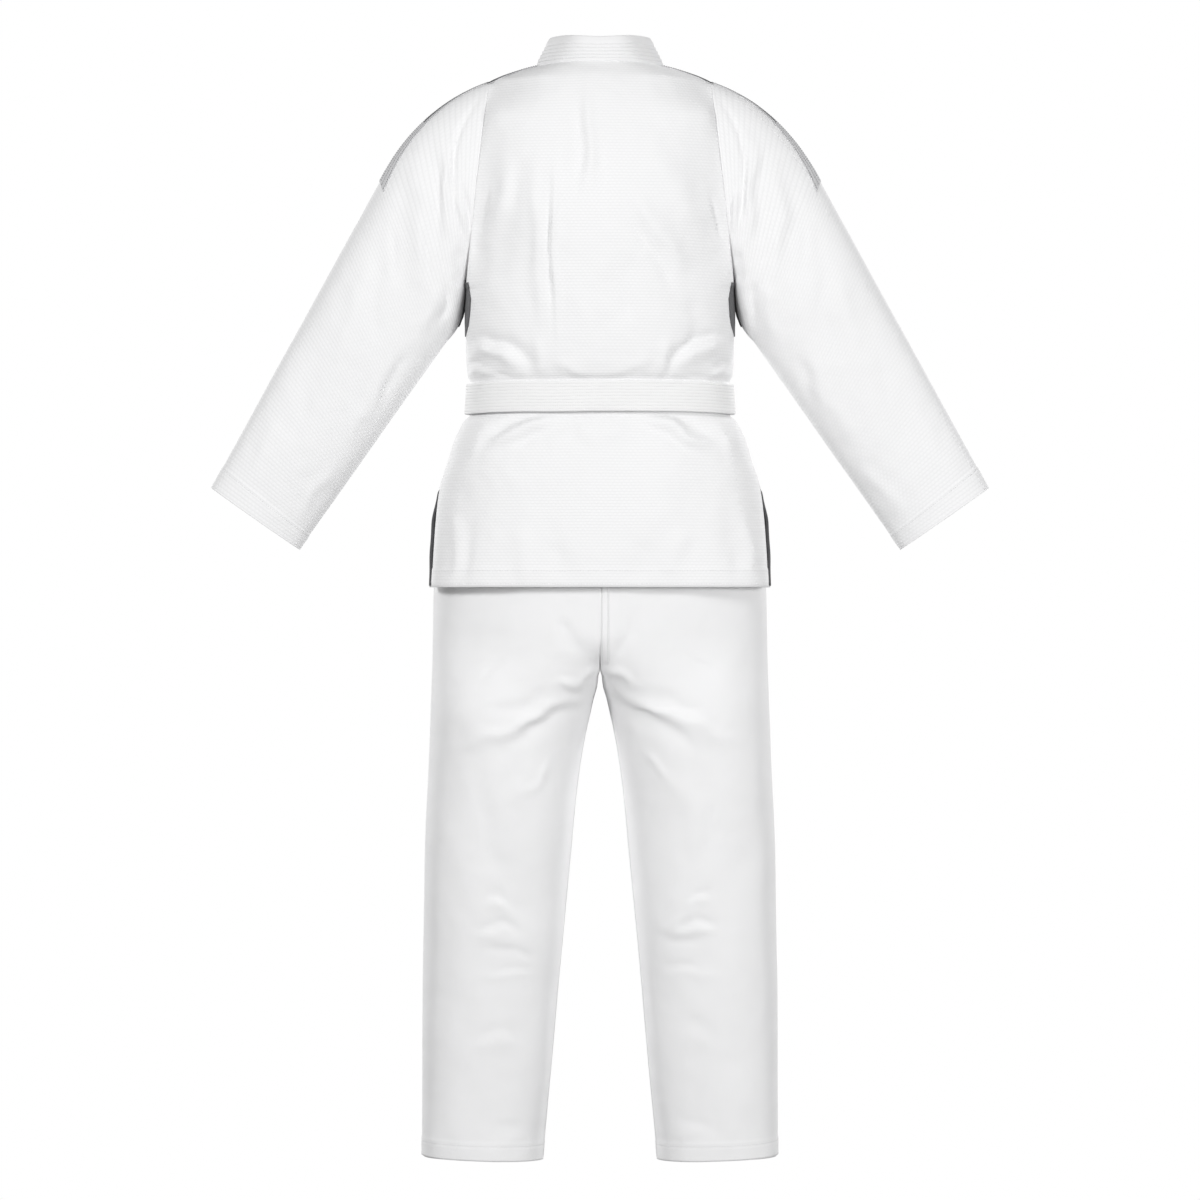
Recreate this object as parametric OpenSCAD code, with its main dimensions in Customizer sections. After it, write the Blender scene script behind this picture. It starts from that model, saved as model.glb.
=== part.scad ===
// Martial arts uniform: a crossed jacket, tied with a belt, and drawstring trousers.
// Units are millimetres. The origin is the centre of the neck opening, level with the shoulders' tops.
// +Z is up, the back of the uniform faces +Y, and the wearer's left is +X.

/* [Body sizes] */
// Width of the jacket across the chest, just under the arms
chest_w = 376; // [320:1:460]
// Depth of the jacket at the chest, front to back
chest_depth = 232; // [200:1:280]
// Width of the jacket where the belt cinches it
waist_w = 356; // [300:1:430]
// Depth of the jacket where the belt cinches it
waist_depth = 196; // [163:1:240]
// Width of the trousers at the hips
hip_w = 470; // [400:1:565]
// Depth of the trousers at the hips
hip_depth = 216; // [190:1:260]

/* [Jacket] */
// Top of the shoulder to the hem
jacket_length = 730; // [640:1:880]
// Top of the shoulder to the middle of the belt
waist_drop = 467; // [420:1:520]
// Slit at each side of the skirt
vent_length = 136; // [110:1:165]
// Width across both shoulder seams
shoulder_w = 310; // [270:1:370]
// Fall of the shoulder from the neck to the sleeve seam
shoulder_drop = 30; // [24:1:40]
// Width of the neck opening
neck_w = 168; // [150:1:190]
// Height of the armhole
armhole_h = 284; // [236:1:342]
// Depth of the armhole, front to back
armhole_depth = 128; // [110:1:150]
// Thickness of the jacket's cloth
jacket_cloth = 2.2; // [1.4:0.1:3.2]

/* [Collar] */
// Width of the collar and lapel band
collar_w = 46; // [38:1:55]
// Thickness of the collar band with its core
collar_thick = 7; // [5:0.5:9]
// Thickness of the collar band's cover on each side
collar_cover_t = 1.5; // [1:0.1:2]

/* [Sleeves] */
// Length of the sleeve along its upper edge, after the shoulder cap
sleeve_length = 500; // [420:1:600]
// Angle of the sleeve from straight down
sleeve_angle = 28.8; // [24:0.1:36]
// Width of the sleeve at the cuff, laid flat
cuff_w = 150; // [120:1:180]
// Depth of the open cuff
cuff_depth = 68; // [50:1:90]

/* [Belt] */
// Width of the belt
belt_w = 42; // [35:1:52]
// Thickness of one layer of the belt
belt_t = 4; // [3:0.5:5]
// Hanging length of each end of the belt
belt_end_length = 265; // [200:1:320]
// Angle of each end from straight down
belt_end_splay = 13; // [8:1:20]

/* [Trousers] */
// Waistband's top edge, below the belt's lower edge
waistband_gap = 57; // [45:1:70]
// Height of the waistband
waistband_h = 38; // [30:1:46]
// Waistband's top edge to the crotch
rise = 298; // [260:1:350]
// Crotch to the hem
inseam = 690; // [570:1:830]
// Width of each leg at the hem
hem_w = 168; // [140:1:200]
// Depth of each leg at the hem
hem_depth = 124; // [100:1:148]
// Distance between the middles of the two hems
stance = 330; // [290:1:390]
// Thickness of the trousers' cloth
trouser_cloth = 1.6; // [1:0.1:2.4]

/* [Trim] */
// Width of the contrast band on each shoulder
shoulder_band_w = 44; // [34:1:54]
// Thickness of bands, tapes, patches and linings
trim_t = 1.2; // [0.8:0.1:1.6]
// Width of the tapes inside the hems and cuffs
hem_tape_w = 32; // [24:1:40]
// Width of the tapes on the vents
vent_tape_w = 24; // [18:1:30]

/* [Hidden] */

cotton = "whitesmoke";
contrast = "dimgray";
foam = "lightgray";

joint_gap = 0.3;   // between two pieces that move apart
seam_gap = 0.05;   // between two layers sewn together
trim_gap = 0.6;    // between a surface and a band whose edges cross it at a slant
overlap_step = 9;  // how far the right front lies behind the left
sleeve_gap = 0.9;  // from the armhole's edge to the sleeve's, whose wall leans towards it
belt_seat = 0.8;   // from the jacket's surface to the belt's inner layer
round_shape = 2.3; // exponent of the body's rounded cross-sections
flat_shape = 2.6;  // exponent of the open profile between the armholes

// Heights
under_z = -shoulder_drop - armhole_h;
belt_z = -waist_drop;
belt_top = belt_z + belt_w / 2;
belt_low = belt_z - belt_w / 2;
hem_z = -jacket_length;
vent_z = hem_z + vent_length;
waistband_z = belt_low - waistband_gap;
crotch_z = waistband_z - rise;
ankle_z = crotch_z - inseam;
hip_pivot_z = crotch_z + 95;
swing_r = hip_depth / 2 + 50;

// Helpers
function mix(a, b, t) = a + (b - a) * t;
function clamp01(t) = min(1, max(0, t));
function smooth(t) = let (c = clamp01(t)) c * c * (3 - 2 * c);
function steps(a, b, n) = [for (i = [0:n]) mix(a, b, i / n)];
function unit(v) = v / max(norm(v), 1e-9);
function bend(a, b, c, t) = mix(mix(a, b, t), mix(b, c, t), t);
function rounded(u, n) = pow(max(0, 1 - pow(min(1, abs(u)), n)), 1 / n);
function signed_pow(t, p) = sign(t) * pow(abs(t), p);
function mirror_x(p) = [-p.x, p.y, p.z];
function slice(list, from, to) = [for (i = [from:to]) list[i]];

// The outward normal of a surface f(a, b), whose parameters change by da and db
function normal(f, a, b, da, db, side) =
    side * unit(cross(f(a + da, b) - f(a - da, b), f(a, b + db) - f(a, b - db)));
function offset_grid(f, as, bs, off, da, db, side) =
    [for (a = as) [for (b = bs) f(a, b) + off * normal(f, a, b, da, db, side)]];

// A closed sheet between two grids of points, open or joined round into a tube
module sheet(outer, inner, tube = false) {
    rows = len(outer);
    cols = len(outer[0]);
    n = rows * cols;
    wide = tube ? cols : cols - 1;
    i0 = floor(rows / 2) - 1;
    j0 = floor(cols / 2);
    a = outer[i0][j0];
    along = outer[i0][j0 + 1 < cols ? j0 + 1 : 0] - a;
    outward = cross(along, outer[i0 + 1][j0] - a) * (a - inner[i0][j0]) > 0;
    at = function (i, j) i * cols + j % cols;
    quads = [
        for (i = [0:rows - 2], j = [0:wide - 1])
            each [[at(i, j), at(i, j + 1), at(i + 1, j + 1), at(i + 1, j)],
                  [n + at(i, j), n + at(i + 1, j), n + at(i + 1, j + 1), n + at(i, j + 1)]],
        for (j = [0:wide - 1])
            each [[n + at(0, j), n + at(0, j + 1), at(0, j + 1), at(0, j)],
                  [at(rows - 1, j), at(rows - 1, j + 1), n + at(rows - 1, j + 1), n + at(rows - 1, j)]],
        if (!tube) for (i = [0:rows - 2])
            each [[at(i, 0), at(i + 1, 0), n + at(i + 1, 0), n + at(i, 0)],
                  [n + at(i, cols - 1), n + at(i + 1, cols - 1), at(i + 1, cols - 1), at(i, cols - 1)]],
    ];
    faces = [for (q = quads) each [[q[0], q[1], q[2]], [q[0], q[2], q[3]]]];
    polyhedron(
        points = [for (g = [outer, inner], row = g) each row],
        faces = [for (f = faces) outward ? [f[2], f[1], f[0]] : f]
    );
}

// A layer of cloth on the surface f, from offset low to offset high
module layer(f, as, bs, low, high, da = 0.5, db = 0.01, side = 1, tube = false) {
    sheet(offset_grid(f, as, bs, high, da, db, side), offset_grid(f, as, bs, low, da, db, side), tube);
}

// Jacket body: the surface at height z and share u of the half width, from -1 to 1
arm_mid_z = (under_z - shoulder_drop) / 2;
function edge_x(z) = lookup(z, [
    [hem_z, hip_w / 2 - 1],
    [vent_z, hip_w / 2 - 10],
    [belt_low - 45, waist_w / 2 + 26],
    [belt_low, waist_w / 2],
    [belt_top, waist_w / 2],
    [belt_top + 22, chest_w / 2 - 2],
    [under_z, chest_w / 2],
    [-shoulder_drop, shoulder_w / 2],
    [0, neck_w / 2],
]);
function arm_y(z) = armhole_depth / 2 * sqrt(max(0, 1 - pow((z - arm_mid_z) / (armhole_h / 2), 2)));
function vent_y(z, out) = out * clamp01((vent_z - z) / vent_length);
function side_y(z, out) = z > under_z ? (z < -shoulder_drop ? arm_y(z) : 0) : vent_y(z, out);
function back_d(z) = lookup(z, [
    [hem_z, hip_depth / 2 + 20],
    [vent_z, hip_depth / 2 + 11],
    [belt_low - 12, waist_depth / 2 + 4],
    [belt_z, waist_depth / 2 - 1],
    [belt_top + 8, waist_depth / 2 + 3],
    [-360, chest_depth / 2 - 3],
    [-240, chest_depth / 2 + 3],
    [-150, chest_depth / 2 - 3],
    [-75, chest_depth / 2 - 20],
    [-shoulder_drop, chest_depth / 2 - 38],
    [0, chest_depth / 2 - 56],
]);
function front_d(z) = lookup(z, [
    [hem_z, hip_depth / 2 + 17],
    [vent_z, hip_depth / 2 + 11],
    [belt_low - 12, waist_depth / 2 + 6],
    [belt_z, waist_depth / 2 + 1],
    [belt_top + 8, waist_depth / 2 + 5],
    [-360, chest_depth / 2 - 5],
    [-240, chest_depth / 2],
    [-150, chest_depth / 2 - 10],
    [-80, chest_depth / 2 - 28],
    [-shoulder_drop, chest_depth / 2 - 54],
    [0, chest_depth / 2 - 86],
]);
function profile(u, z) =
    mix(rounded(u, round_shape), 1 - pow(min(1, abs(u)), flat_shape), clamp01((z - under_z) / 90));
vent_back_y = 42;
vent_front_y = 30;
front_flare = 9; // the front tails stand wider than the back tail at the hem
function back_pt(z, u) =
    let (y = side_y(z, vent_back_y))
    [u * edge_x(z), max(joint_gap / 2, y + (back_d(z) - y) * profile(u, z)), z];
function front_pt(z, u) =
    let (y = side_y(z, vent_front_y), x = edge_x(z) + front_flare * clamp01((vent_z - z) / vent_length))
    [u * x, -max(joint_gap / 2, y + (front_d(z) - y) * profile(u, z)), z];

// Where the left front's edge meets the lapel band, and the band's free edge
lapel_slope = 0.276;
function lapel_x(z) = neck_w / 2 + lapel_slope * z + 0.13 * max(0, belt_z - z);
function lapel_free_x(z) = lapel_x(z) - collar_w * 1.04;
function lapel_u(z) = lapel_x(z) / edge_x(z);
function tuck(x, z) = overlap_step * smooth((x - lapel_free_x(z) + 60) / 50);
function left_front_pt(z, s) = front_pt(z, mix(lapel_u(z), 1, s));
function right_front_pt(z, s) =
    let (p = front_pt(z, mix(-lapel_u(z), -1, s))) p + [0, tuck(p.x, z), 0];

// Rows from the neck to the hem. Those beside the armhole stand where the sleeve's points do.
yoke_rows = steps(0, -shoulder_drop, 4);
arm_rows = [for (a = [15:15:180]) arm_mid_z + armhole_h / 2 * cos(a)];
chest_rows = [for (t = [1:4]) mix(under_z, belt_top + 22, t / 4)];
waist_rows = concat([belt_top + 8, belt_top, belt_low, belt_low - 12], steps(belt_low - 45, vent_z, 2));
hem_rows = [hem_z + hem_tape_w, hem_z + hem_tape_w / 2, hem_z];
tail_rows = concat(steps(vent_z - joint_gap, hem_z + hem_tape_w, 3), slice(hem_rows, 1, 2));
upper_rows = concat(yoke_rows, arm_rows, chest_rows, waist_rows);
back_cols = [for (a = [-90:9:90]) signed_pow(sin(a), 2 / round_shape)];
last_col = len(back_cols) - 1;
front_cols = [0, 0.14, 0.28, 0.42, 0.55, 0.67, 0.77, 0.855, 0.92, 0.967, 0.993, 1];
last_front_col = len(front_cols) - 1;

// Keeps a point on its own side of the side and shoulder seams
function back_side(g) = [for (row = g) [for (p = row) [p.x, max(joint_gap / 2, p.y), p.z]]];
function front_side(g) = [for (row = g) [for (p = row) [p.x, min(-joint_gap / 2, p.y), p.z]]];

module back_layer(rows, cols, low, high) {
    f = function (z, u) back_pt(z, u);
    sheet(back_side(offset_grid(f, rows, cols, high, 0.5, 0.01, 1)),
          back_side(offset_grid(f, rows, cols, low, 0.5, 0.01, 1)));
}
module jacket_back_panel() {
    color(cotton) back_layer(upper_rows, back_cols, -jacket_cloth, 0);
}
module jacket_back_tail() {
    color(cotton) back_layer(tail_rows, back_cols, -jacket_cloth, 0);
}
// Offsets of a tape or lining inside the jacket
inside_low = -jacket_cloth - trim_t;
inside_high = -jacket_cloth - seam_gap;
module back_hem_tape() {
    color(cotton) back_layer(hem_rows, slice(back_cols, 1, last_col - 1), inside_low, inside_high);
}
module back_yoke_lining() {
    color(cotton)
        back_layer(slice(upper_rows, 1, 11), slice(back_cols, 3, last_col - 3), inside_low, inside_high);
}
module front_layer(f, rows, cols, low, high, side) {
    sheet(front_side(offset_grid(f, rows, cols, high, 0.5, 0.01, side)),
          front_side(offset_grid(f, rows, cols, low, 0.5, 0.01, side)));
}
front_rows = concat(upper_rows, slice(tail_rows, 1, len(tail_rows) - 1));
module jacket_left_front() {
    f = function (z, s) left_front_pt(z, s);
    color(cotton) front_layer(f, front_rows, front_cols, -jacket_cloth, 0, -1);
}
module jacket_right_front() {
    f = function (z, s) right_front_pt(z, s);
    color(cotton) front_layer(f, front_rows, front_cols, -jacket_cloth, 0, 1);
}
module front_hem_tape(f, side) {
    color(cotton)
        front_layer(f, hem_rows, slice(front_cols, 1, last_front_col - 3), inside_low, inside_high, side);
}
module left_front_hem_tape() { front_hem_tape(function (z, s) left_front_pt(z, s), -1); }
module right_front_hem_tape() { front_hem_tape(function (z, s) right_front_pt(z, s), 1); }

// The contrast tape that faces each vent, inside the front tail's edge
module vent_tape(mirrored) {
    f = mirrored ? function (z, s) right_front_pt(z, s) : function (z, s) left_front_pt(z, s);
    rows = slice(front_rows, len(upper_rows) - 1, len(front_rows) - 1);
    cols = slice(front_cols, last_front_col - 2, last_front_col);
    color(contrast) front_layer(f, rows, cols, inside_low, inside_high, mirrored ? 1 : -1);
}
module left_vent_tape() { vent_tape(false); }
module right_vent_tape() { vent_tape(true); }

// Collar and lapels: one band from the left hem round the neck to the right hem.
// t runs from -2 (right hem) through 0 (back of the neck) to 2 (left hem).
// s runs from the seam to the free edge.
lapel_angle = atan(lapel_slope);
function band_left(a, s) =
    let (
        z = a < 1 ? 0 : -(a - 1) * jacket_length,
        seam = a < 1 ? back_pt(0, a) : front_pt(z, lapel_u(z)),
        stand = mix([0, -11, collar_w - 4], [-24, -8, collar_w - 7], smooth(a)),
        rise_z = collar_w * sin(lapel_angle) * clamp01((z - hem_z) / 120),
        flat_z = z + rise_z,
        flat_at = front_pt(flat_z, lapel_free_x(z) / edge_x(flat_z)),
        free = mix(seam + stand, flat_at, smooth(-z / 120))
    )
    mix(seam, free, s);
function band_pt(t, s) =
    let (p = band_left(abs(t), s))
    t >= 0 ? p : mirror_x(p) + [0, abs(t) > 1 ? tuck(-p.x, -(abs(t) - 1) * jacket_length) : 0, 0];
band_stations = concat([0, 0.25, 0.5, 0.7, 0.85, 0.96],
                       [1.008, 1.02, 1.035, 1.055, 1.075, 1.095, 1.115, 1.14],
                       steps(1.17, belt_z / hem_z + 1, 10), steps(belt_z / hem_z + 1.06, 2, 4));
both_stations = concat([for (i = [len(band_stations) - 1:-1:1]) -band_stations[i]], band_stations);
module band_layer(low, high, across) {
    f = function (t, s) band_pt(t, s);
    layer(f, both_stations, across, low, high, 0.004, 0.02, -1);
}
core_gap = 1.2;
module collar_core() {
    half = collar_thick / 2 - collar_cover_t - core_gap;
    color(foam) band_layer(-half, half, [0.18, 0.5, 0.82]);
}
// The cover folds round the core: a loop of shares across the band, each with its offset from the middle
function cover_loop(edges, half) = concat(
    [for (s = [edges[0], 0.12, 0.5, 0.88]) [s, half]],
    [for (k = [0.6, 0, -0.6]) [edges[1], k * half]],
    [for (s = [0.88, 0.5, 0.12, edges[0]]) [s, -half]]
);
function cover_grid(edges, half) =
    let (f = function (t, s) band_pt(t, s))
    [for (t = both_stations)
        [for (p = cover_loop(edges, half)) f(t, p[0]) + p[1] * normal(f, t, p[0], 0.004, 0.02, -1)]];
module collar_cover() {
    half = collar_thick / 2;
    color(cotton) sheet(cover_grid([0.02, 1], half), cover_grid([0.06, 0.95], half - collar_cover_t), true);
}

// Sleeve: v runs from the armhole to the cuff.
// The angle runs from the top edge (0) over the back (90) to the underside (180).
seam_top = [shoulder_w / 2, 0, -shoulder_drop];
seam_low = [chest_w / 2, 0, under_z];
cap_share = 0.3;
sleeve_dir = [sin(sleeve_angle), 0, -cos(sleeve_angle)];
cap_end = seam_top + [147, 0, -123];
cuff_top = cap_end + sleeve_length * sleeve_dir;
cuff_across = unit([-0.82, 0, -0.573]);
cuff_low = cuff_top + cuff_w * cuff_across;
pit_end = seam_low + [27, 0, -74];
function sleeve_top(v) =
    v < cap_share ? bend(seam_top, seam_top + [109, 0, -32], cap_end, v / cap_share)
                  : mix(cap_end, cuff_top, (v - cap_share) / (1 - cap_share));
function sleeve_low(v) =
    v < cap_share ? bend(seam_low, seam_low + [8, 0, -36], pit_end, v / cap_share)
                  : mix(pit_end, cuff_low, (v - cap_share) / (1 - cap_share));
function sleeve_half_depth(v) = lookup(v, [
    [0, armhole_depth / 2],
    [cap_share, armhole_depth / 2 - 3],
    [0.65, (armhole_depth + cuff_depth) / 4 + 3],
    [1, cuff_depth / 2],
]);
function sleeve_pt(v, a) =
    let (top = sleeve_top(v), low = sleeve_low(v))
    (top + low) / 2 + (top - low) / 2 * cos(a) + [sleeve_gap, sleeve_half_depth(v) * sin(a), 0];
cuff_tape_v = 1 - hem_tape_w / sleeve_length * (1 - cap_share);
sleeve_rows = concat([0, 0.03, 0.08, 0.14, 0.2, 0.26], steps(cap_share + 0.02, cuff_tape_v, 6), [1]);
// Angles crowd together at the sleeve's two narrow edges, and the contrast band's edges are among them
band_a = asin(shoulder_band_w / armhole_depth);
quarter = [0, band_a / 3, band_a * 2 / 3, band_a, mix(band_a, 90, 0.25), mix(band_a, 90, 0.6), 90];
low_quarter = [for (a = [112, 130, 144, 155, 164, 172]) a];
half_round = concat(quarter, low_quarter);
around = concat(half_round, [180], [for (i = [len(half_round) - 1:-1:1]) 360 - half_round[i]]);
module sleeve_layer(vs, angles, low, high, mirrored, tube = false) {
    f = function (v, a) sleeve_pt(v, a);
    mirror([mirrored ? 1 : 0, 0, 0]) layer(f, vs, angles, low, high, 0.004, 1, 1, tube);
}
module sleeve(mirrored) {
    color(cotton) sleeve_layer(sleeve_rows, around, -jacket_cloth, 0, mirrored, true);
}
module sleeve_band(mirrored) {
    color(contrast)
        sleeve_layer(slice(sleeve_rows, 1, 6),
                     concat([for (i = [3:-1:1]) -quarter[i]], slice(quarter, 0, 3)),
                     seam_gap, trim_t, mirrored);
}
module cuff_tape(mirrored) {
    color(cotton) sleeve_layer([cuff_tape_v, 1], around, inside_low, inside_high, mirrored, true);
}
// A diamond of contrast cloth under the arm, half on the sleeve and half on the body
module sleeve_gusset(mirrored) {
    f = function (v, s) sleeve_pt(v, 180 + s * mix(34, 2, v / 0.3));
    mirror([mirrored ? 1 : 0, 0, 0])
        color(contrast)
            layer(f, [0.08, 0.12, 0.16, 0.2, 0.26], steps(-1, 1, 8),
                  trim_gap, trim_gap + trim_t, 0.004, 0.05);
}
module underarm_gusset(mirrored) {
    // s runs round the side seam from the front (-1) to the back (1)
    f = function (z, s)
        let (w = 0.1 + 0.9 * clamp01((z - under_z + 74) / 70),
             a = 24 * w * s,
             d = s > 0 ? back_d(z) : front_d(z))
        [edge_x(z) * signed_pow(cos(a), 2 / round_shape), d * signed_pow(sin(a), 2 / round_shape), z];
    mirror([mirrored ? 1 : 0, 0, 0])
        color(contrast)
            layer(f, steps(under_z - 5, under_z - 72, 4), steps(-1, 1, 7),
                  trim_gap, trim_gap + trim_t, side = -1);
}
module left_sleeve() { sleeve(false); }
module right_sleeve() { sleeve(true); }
module left_sleeve_band() { sleeve_band(false); }
module right_sleeve_band() { sleeve_band(true); }
module left_cuff_tape() { cuff_tape(false); }
module right_cuff_tape() { cuff_tape(true); }
module left_sleeve_gusset() { sleeve_gusset(false); }
module right_sleeve_gusset() { sleeve_gusset(true); }
module left_underarm_gusset() { underarm_gusset(false); }
module right_underarm_gusset() { underarm_gusset(true); }

// The contrast band over each shoulder: r runs from the neck to the sleeve seam.
// s runs from the band's front edge (-1) to its back edge (1).
function shoulder_pt(r, s) =
    let (
        z = -shoulder_drop * mix(0.12, 0.97, r),
        drop = abs(s) * shoulder_band_w * 0.22,
        u_at = function (h) let (e = edge_x(z) / edge_x(h)) min(1, e)
    )
    let (h = z - drop, p = s > 0 ? back_pt(h, u_at(h)) : front_pt(h, u_at(h)))
    [p.x, s == 0 ? 0 : p.y, p.z];
module shoulder_band(mirrored) {
    f = function (r, s) shoulder_pt(r, s);
    mirror([mirrored ? 1 : 0, 0, 0])
        color(contrast)
            layer(f, steps(0.14, 1, 5), steps(-1, 1, 6), trim_gap, trim_gap + trim_t, 0.02, 0.08);
}
module left_shoulder_band() { shoulder_band(false); }
module right_shoulder_band() { shoulder_band(true); }

// Belt: two turns round the waist, a flat knot at the front, and two hanging ends
lapel_room = collar_thick / 2 + 1.5; // extra room at the front, where the belt passes over the lapel
waist_back = max(back_d(belt_top), back_d(belt_low));
waist_front = max(front_d(belt_top), front_d(belt_low)) + lapel_room;
function waist_ring(z, a, off) =
    [(edge_x(belt_z) + off) * signed_pow(cos(a), 2 / round_shape),
     ((a < 180 ? waist_back : waist_front) + off) * signed_pow(sin(a), 2 / round_shape), z];
module belt_turn(low, high) {
    ring = [for (a = [0:6:354]) a];
    color(cotton)
        sheet([for (z = [belt_low, belt_top]) [for (a = ring) waist_ring(z, a, high)]],
              [for (z = [belt_low, belt_top]) [for (a = ring) waist_ring(z, a, low)]], true);
}
module belt_inner_wrap() { belt_turn(belt_seat, belt_seat + belt_t); }
module belt_outer_wrap() { belt_turn(belt_seat + belt_t + seam_gap, belt_seat + 2 * belt_t); }
belt_face_y = -waist_front - belt_seat - 2 * belt_t;
knot_size = [60, 24, belt_w + 8];
module belt_knot() {
    r = 9;
    corner = knot_size / 2 - [r, r, r];
    color(cotton)
        translate([0, belt_face_y - seam_gap - knot_size.y / 2, belt_z])
            hull() for (x = [-1, 1], y = [-1, 1], z = [-1, 1])
                translate([x * corner.x, y * corner.y, z * corner.z]) sphere(r, $fn = 20);
}
// Each end hangs from a round bend under the knot, clear of the lapels and the front tails
belt_end_y = -max(knot_size.y / 2 - belt_face_y, front_d(vent_z) + collar_thick / 2 + belt_t);
belt_end_x = belt_w / 2 / cos(belt_end_splay) + joint_gap;
belt_end_low_y = -(front_d(hem_z) + collar_thick / 2 + belt_t + 3);
belt_end_lean = atan((belt_end_y - belt_end_low_y) / (jacket_length - waist_drop));
belt_end_z = belt_z - knot_size.z / 2 - belt_t / 2 - joint_gap;
module belt_end(side) {
    color(cotton)
        translate([side * belt_end_x, belt_end_y, belt_end_z]) rotate([-belt_end_lean, 0, 0]) {
            rotate([0, 90, 0]) cylinder(h = belt_w * 0.9, r = belt_t / 2, center = true, $fn = 32);
            intersection() {
                rotate([0, -side * belt_end_splay, 0])
                    translate([-belt_w / 2, -belt_t / 2, -belt_end_length])
                        cube([belt_w, belt_t, belt_end_length + belt_w]);
                translate([-belt_end_length, -belt_t / 2, -2 * belt_end_length])
                    cube([2 * belt_end_length, belt_t, 2 * belt_end_length]);
            }
        }
}
module belt_left_end() { belt_end(1); }
module belt_right_end() { belt_end(-1); }

// Trousers: the loop round the left leg at height z.
// The angle runs from the outside (0) over the back (90) to the inside (180) and the front (270).
// Above the crotch the inside half has no width, so both legs meet in the middle.
leg_x = stance / 2;
function out_x(z) = lookup(z, [
    [ankle_z, leg_x + hem_w / 2],
    [crotch_z - inseam / 2, leg_x + hem_w / 2 - 2],
    [crotch_z - 80, hip_w / 2 + 3],
    [crotch_z, hip_w / 2],
    [full_z, hip_w / 2 - 1],
    [waistband_z, waist_w / 2 - 14],
]);
function in_x(z) = lookup(z, [
    [ankle_z, leg_x - hem_w / 2],
    [crotch_z - 0.3 * inseam, (leg_x - hem_w / 2) / 2],
    [crotch_z - 80, 17],
    [crotch_z, 0],
    [waistband_z, 0],
]);
function mid_x(z) = let (t = clamp01((crotch_z - z) / 80)) (out_x(z) + in_x(z)) / 2 * (1 - pow(1 - t, 2));
// Where the seat is fullest. Its front fills the crossed fronts; the back tail hangs clear of it.
full_z = crotch_z + 127;
tail_room = 9;
seat_y = back_d(full_z) - jacket_cloth - trim_t - tail_room;
lap_y = front_d(full_z) - overlap_step - collar_thick / 2 - joint_gap;
function leg_back(z) = lookup(z, [
    [ankle_z, hem_depth / 2],
    [crotch_z - inseam / 2, hip_depth / 2 - 26],
    [crotch_z - 145, hip_depth / 2 - 10],
    [crotch_z, hip_depth / 2 + 1],
    [full_z, seat_y],
    [full_z - 54, seat_y - 4],
    [waistband_z, waist_depth / 2 - 14],
]);
function leg_front(z) = lookup(z, [
    [ankle_z, hem_depth / 2],
    [crotch_z - inseam / 2, hip_depth / 2 - 26],
    [crotch_z - 145, hip_depth / 2 - 12],
    [crotch_z, hip_depth / 2 - 6],
    [full_z, lap_y],
    [waistband_z, waist_depth / 2 - 18],
]);
function leg_pt(z, a, off = 0) =
    let (
        m = mid_x(z),
        c = signed_pow(cos(a), 2 / 2.15),
        s = signed_pow(sin(a), 2 / 2.15),
        x = c >= 0 ? m + (out_x(z) - m + off) * c : m + max(0, m - in_x(z) + off) * c,
        y = s >= 0 ? (leg_back(z) + off) * s : (leg_front(z) + off) * s
    )
    [x, y, z];
// The height where a leg is cut from the seat, on a round surface about the hip's swing axis
// The depth changes with height, so the cut is found by going round it a few times.
function cut_z(a, off, r, z = crotch_z - 20, tries = 4) =
    let (y = leg_pt(z, a, off).y, next = hip_pivot_z - sqrt(r * r - y * y))
    tries == 1 ? next : cut_z(a, off, r, next, tries - 1);
seat_levels = concat([waistband_z], steps(waistband_z - waistband_h, crotch_z, 7));
function seat_grid(angles, off) = concat(
    [for (z = seat_levels) [for (a = angles) leg_pt(z, a, off)]],
    [for (t = [0.3, 0.65, 1]) [for (a = angles) leg_pt(mix(crotch_z, cut_z(a, off, swing_r), t), a, off)]]);
leg_shares = [0, 0.08, 0.2, 0.34, 0.48, 0.62, 0.74, 0.86, 1];
knee_shares = slice(leg_shares, 2, 5);
leg_step = 9;
tape_share = leg_shares[len(leg_shares) - 2];
function leg_level(t, a, off) =
    let (tape_z = ankle_z + hem_tape_w)
    t < tape_share ? mix(cut_z(a, off, swing_r + joint_gap), tape_z, t / tape_share)
                   : mix(tape_z, ankle_z, (t - tape_share) / (1 - tape_share));
function leg_grid(shares, angles, off) =
    [for (t = shares) [for (a = angles) leg_pt(leg_level(t, a, off), a, off)]];
module seat_panel() {
    angles = [for (a = [-90:leg_step:90]) a];
    color(cotton) sheet(seat_grid(angles, 0), seat_grid(angles, -trouser_cloth));
}
module left_seat_panel() { seat_panel(); }
module right_seat_panel() { mirror([1, 0, 0]) seat_panel(); }

// The gusset: a saddle from the inside of one thigh over the crotch to the inside of the other
gusset_angles = concat([91], [for (a = [90 + leg_step:leg_step:270 - leg_step]) a], [269]);
function gusset_side(off) =
    [for (t = [1, 0.65, 0.3])
        [for (a = gusset_angles) leg_pt(mix(crotch_z, cut_z(a, off, swing_r), t), a, off)]];
function saddle(off) =
    let (
        left = gusset_side(off),
        top = [for (a = gusset_angles) leg_pt(crotch_z, a, off) - [0, 0, off + trouser_cloth]]
    )
    concat(left, [top], [for (i = [2:-1:0]) [for (p = left[i]) mirror_x(p)]]);
module crotch_gusset() { color(cotton) sheet(saddle(0), saddle(-trouser_cloth)); }

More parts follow.
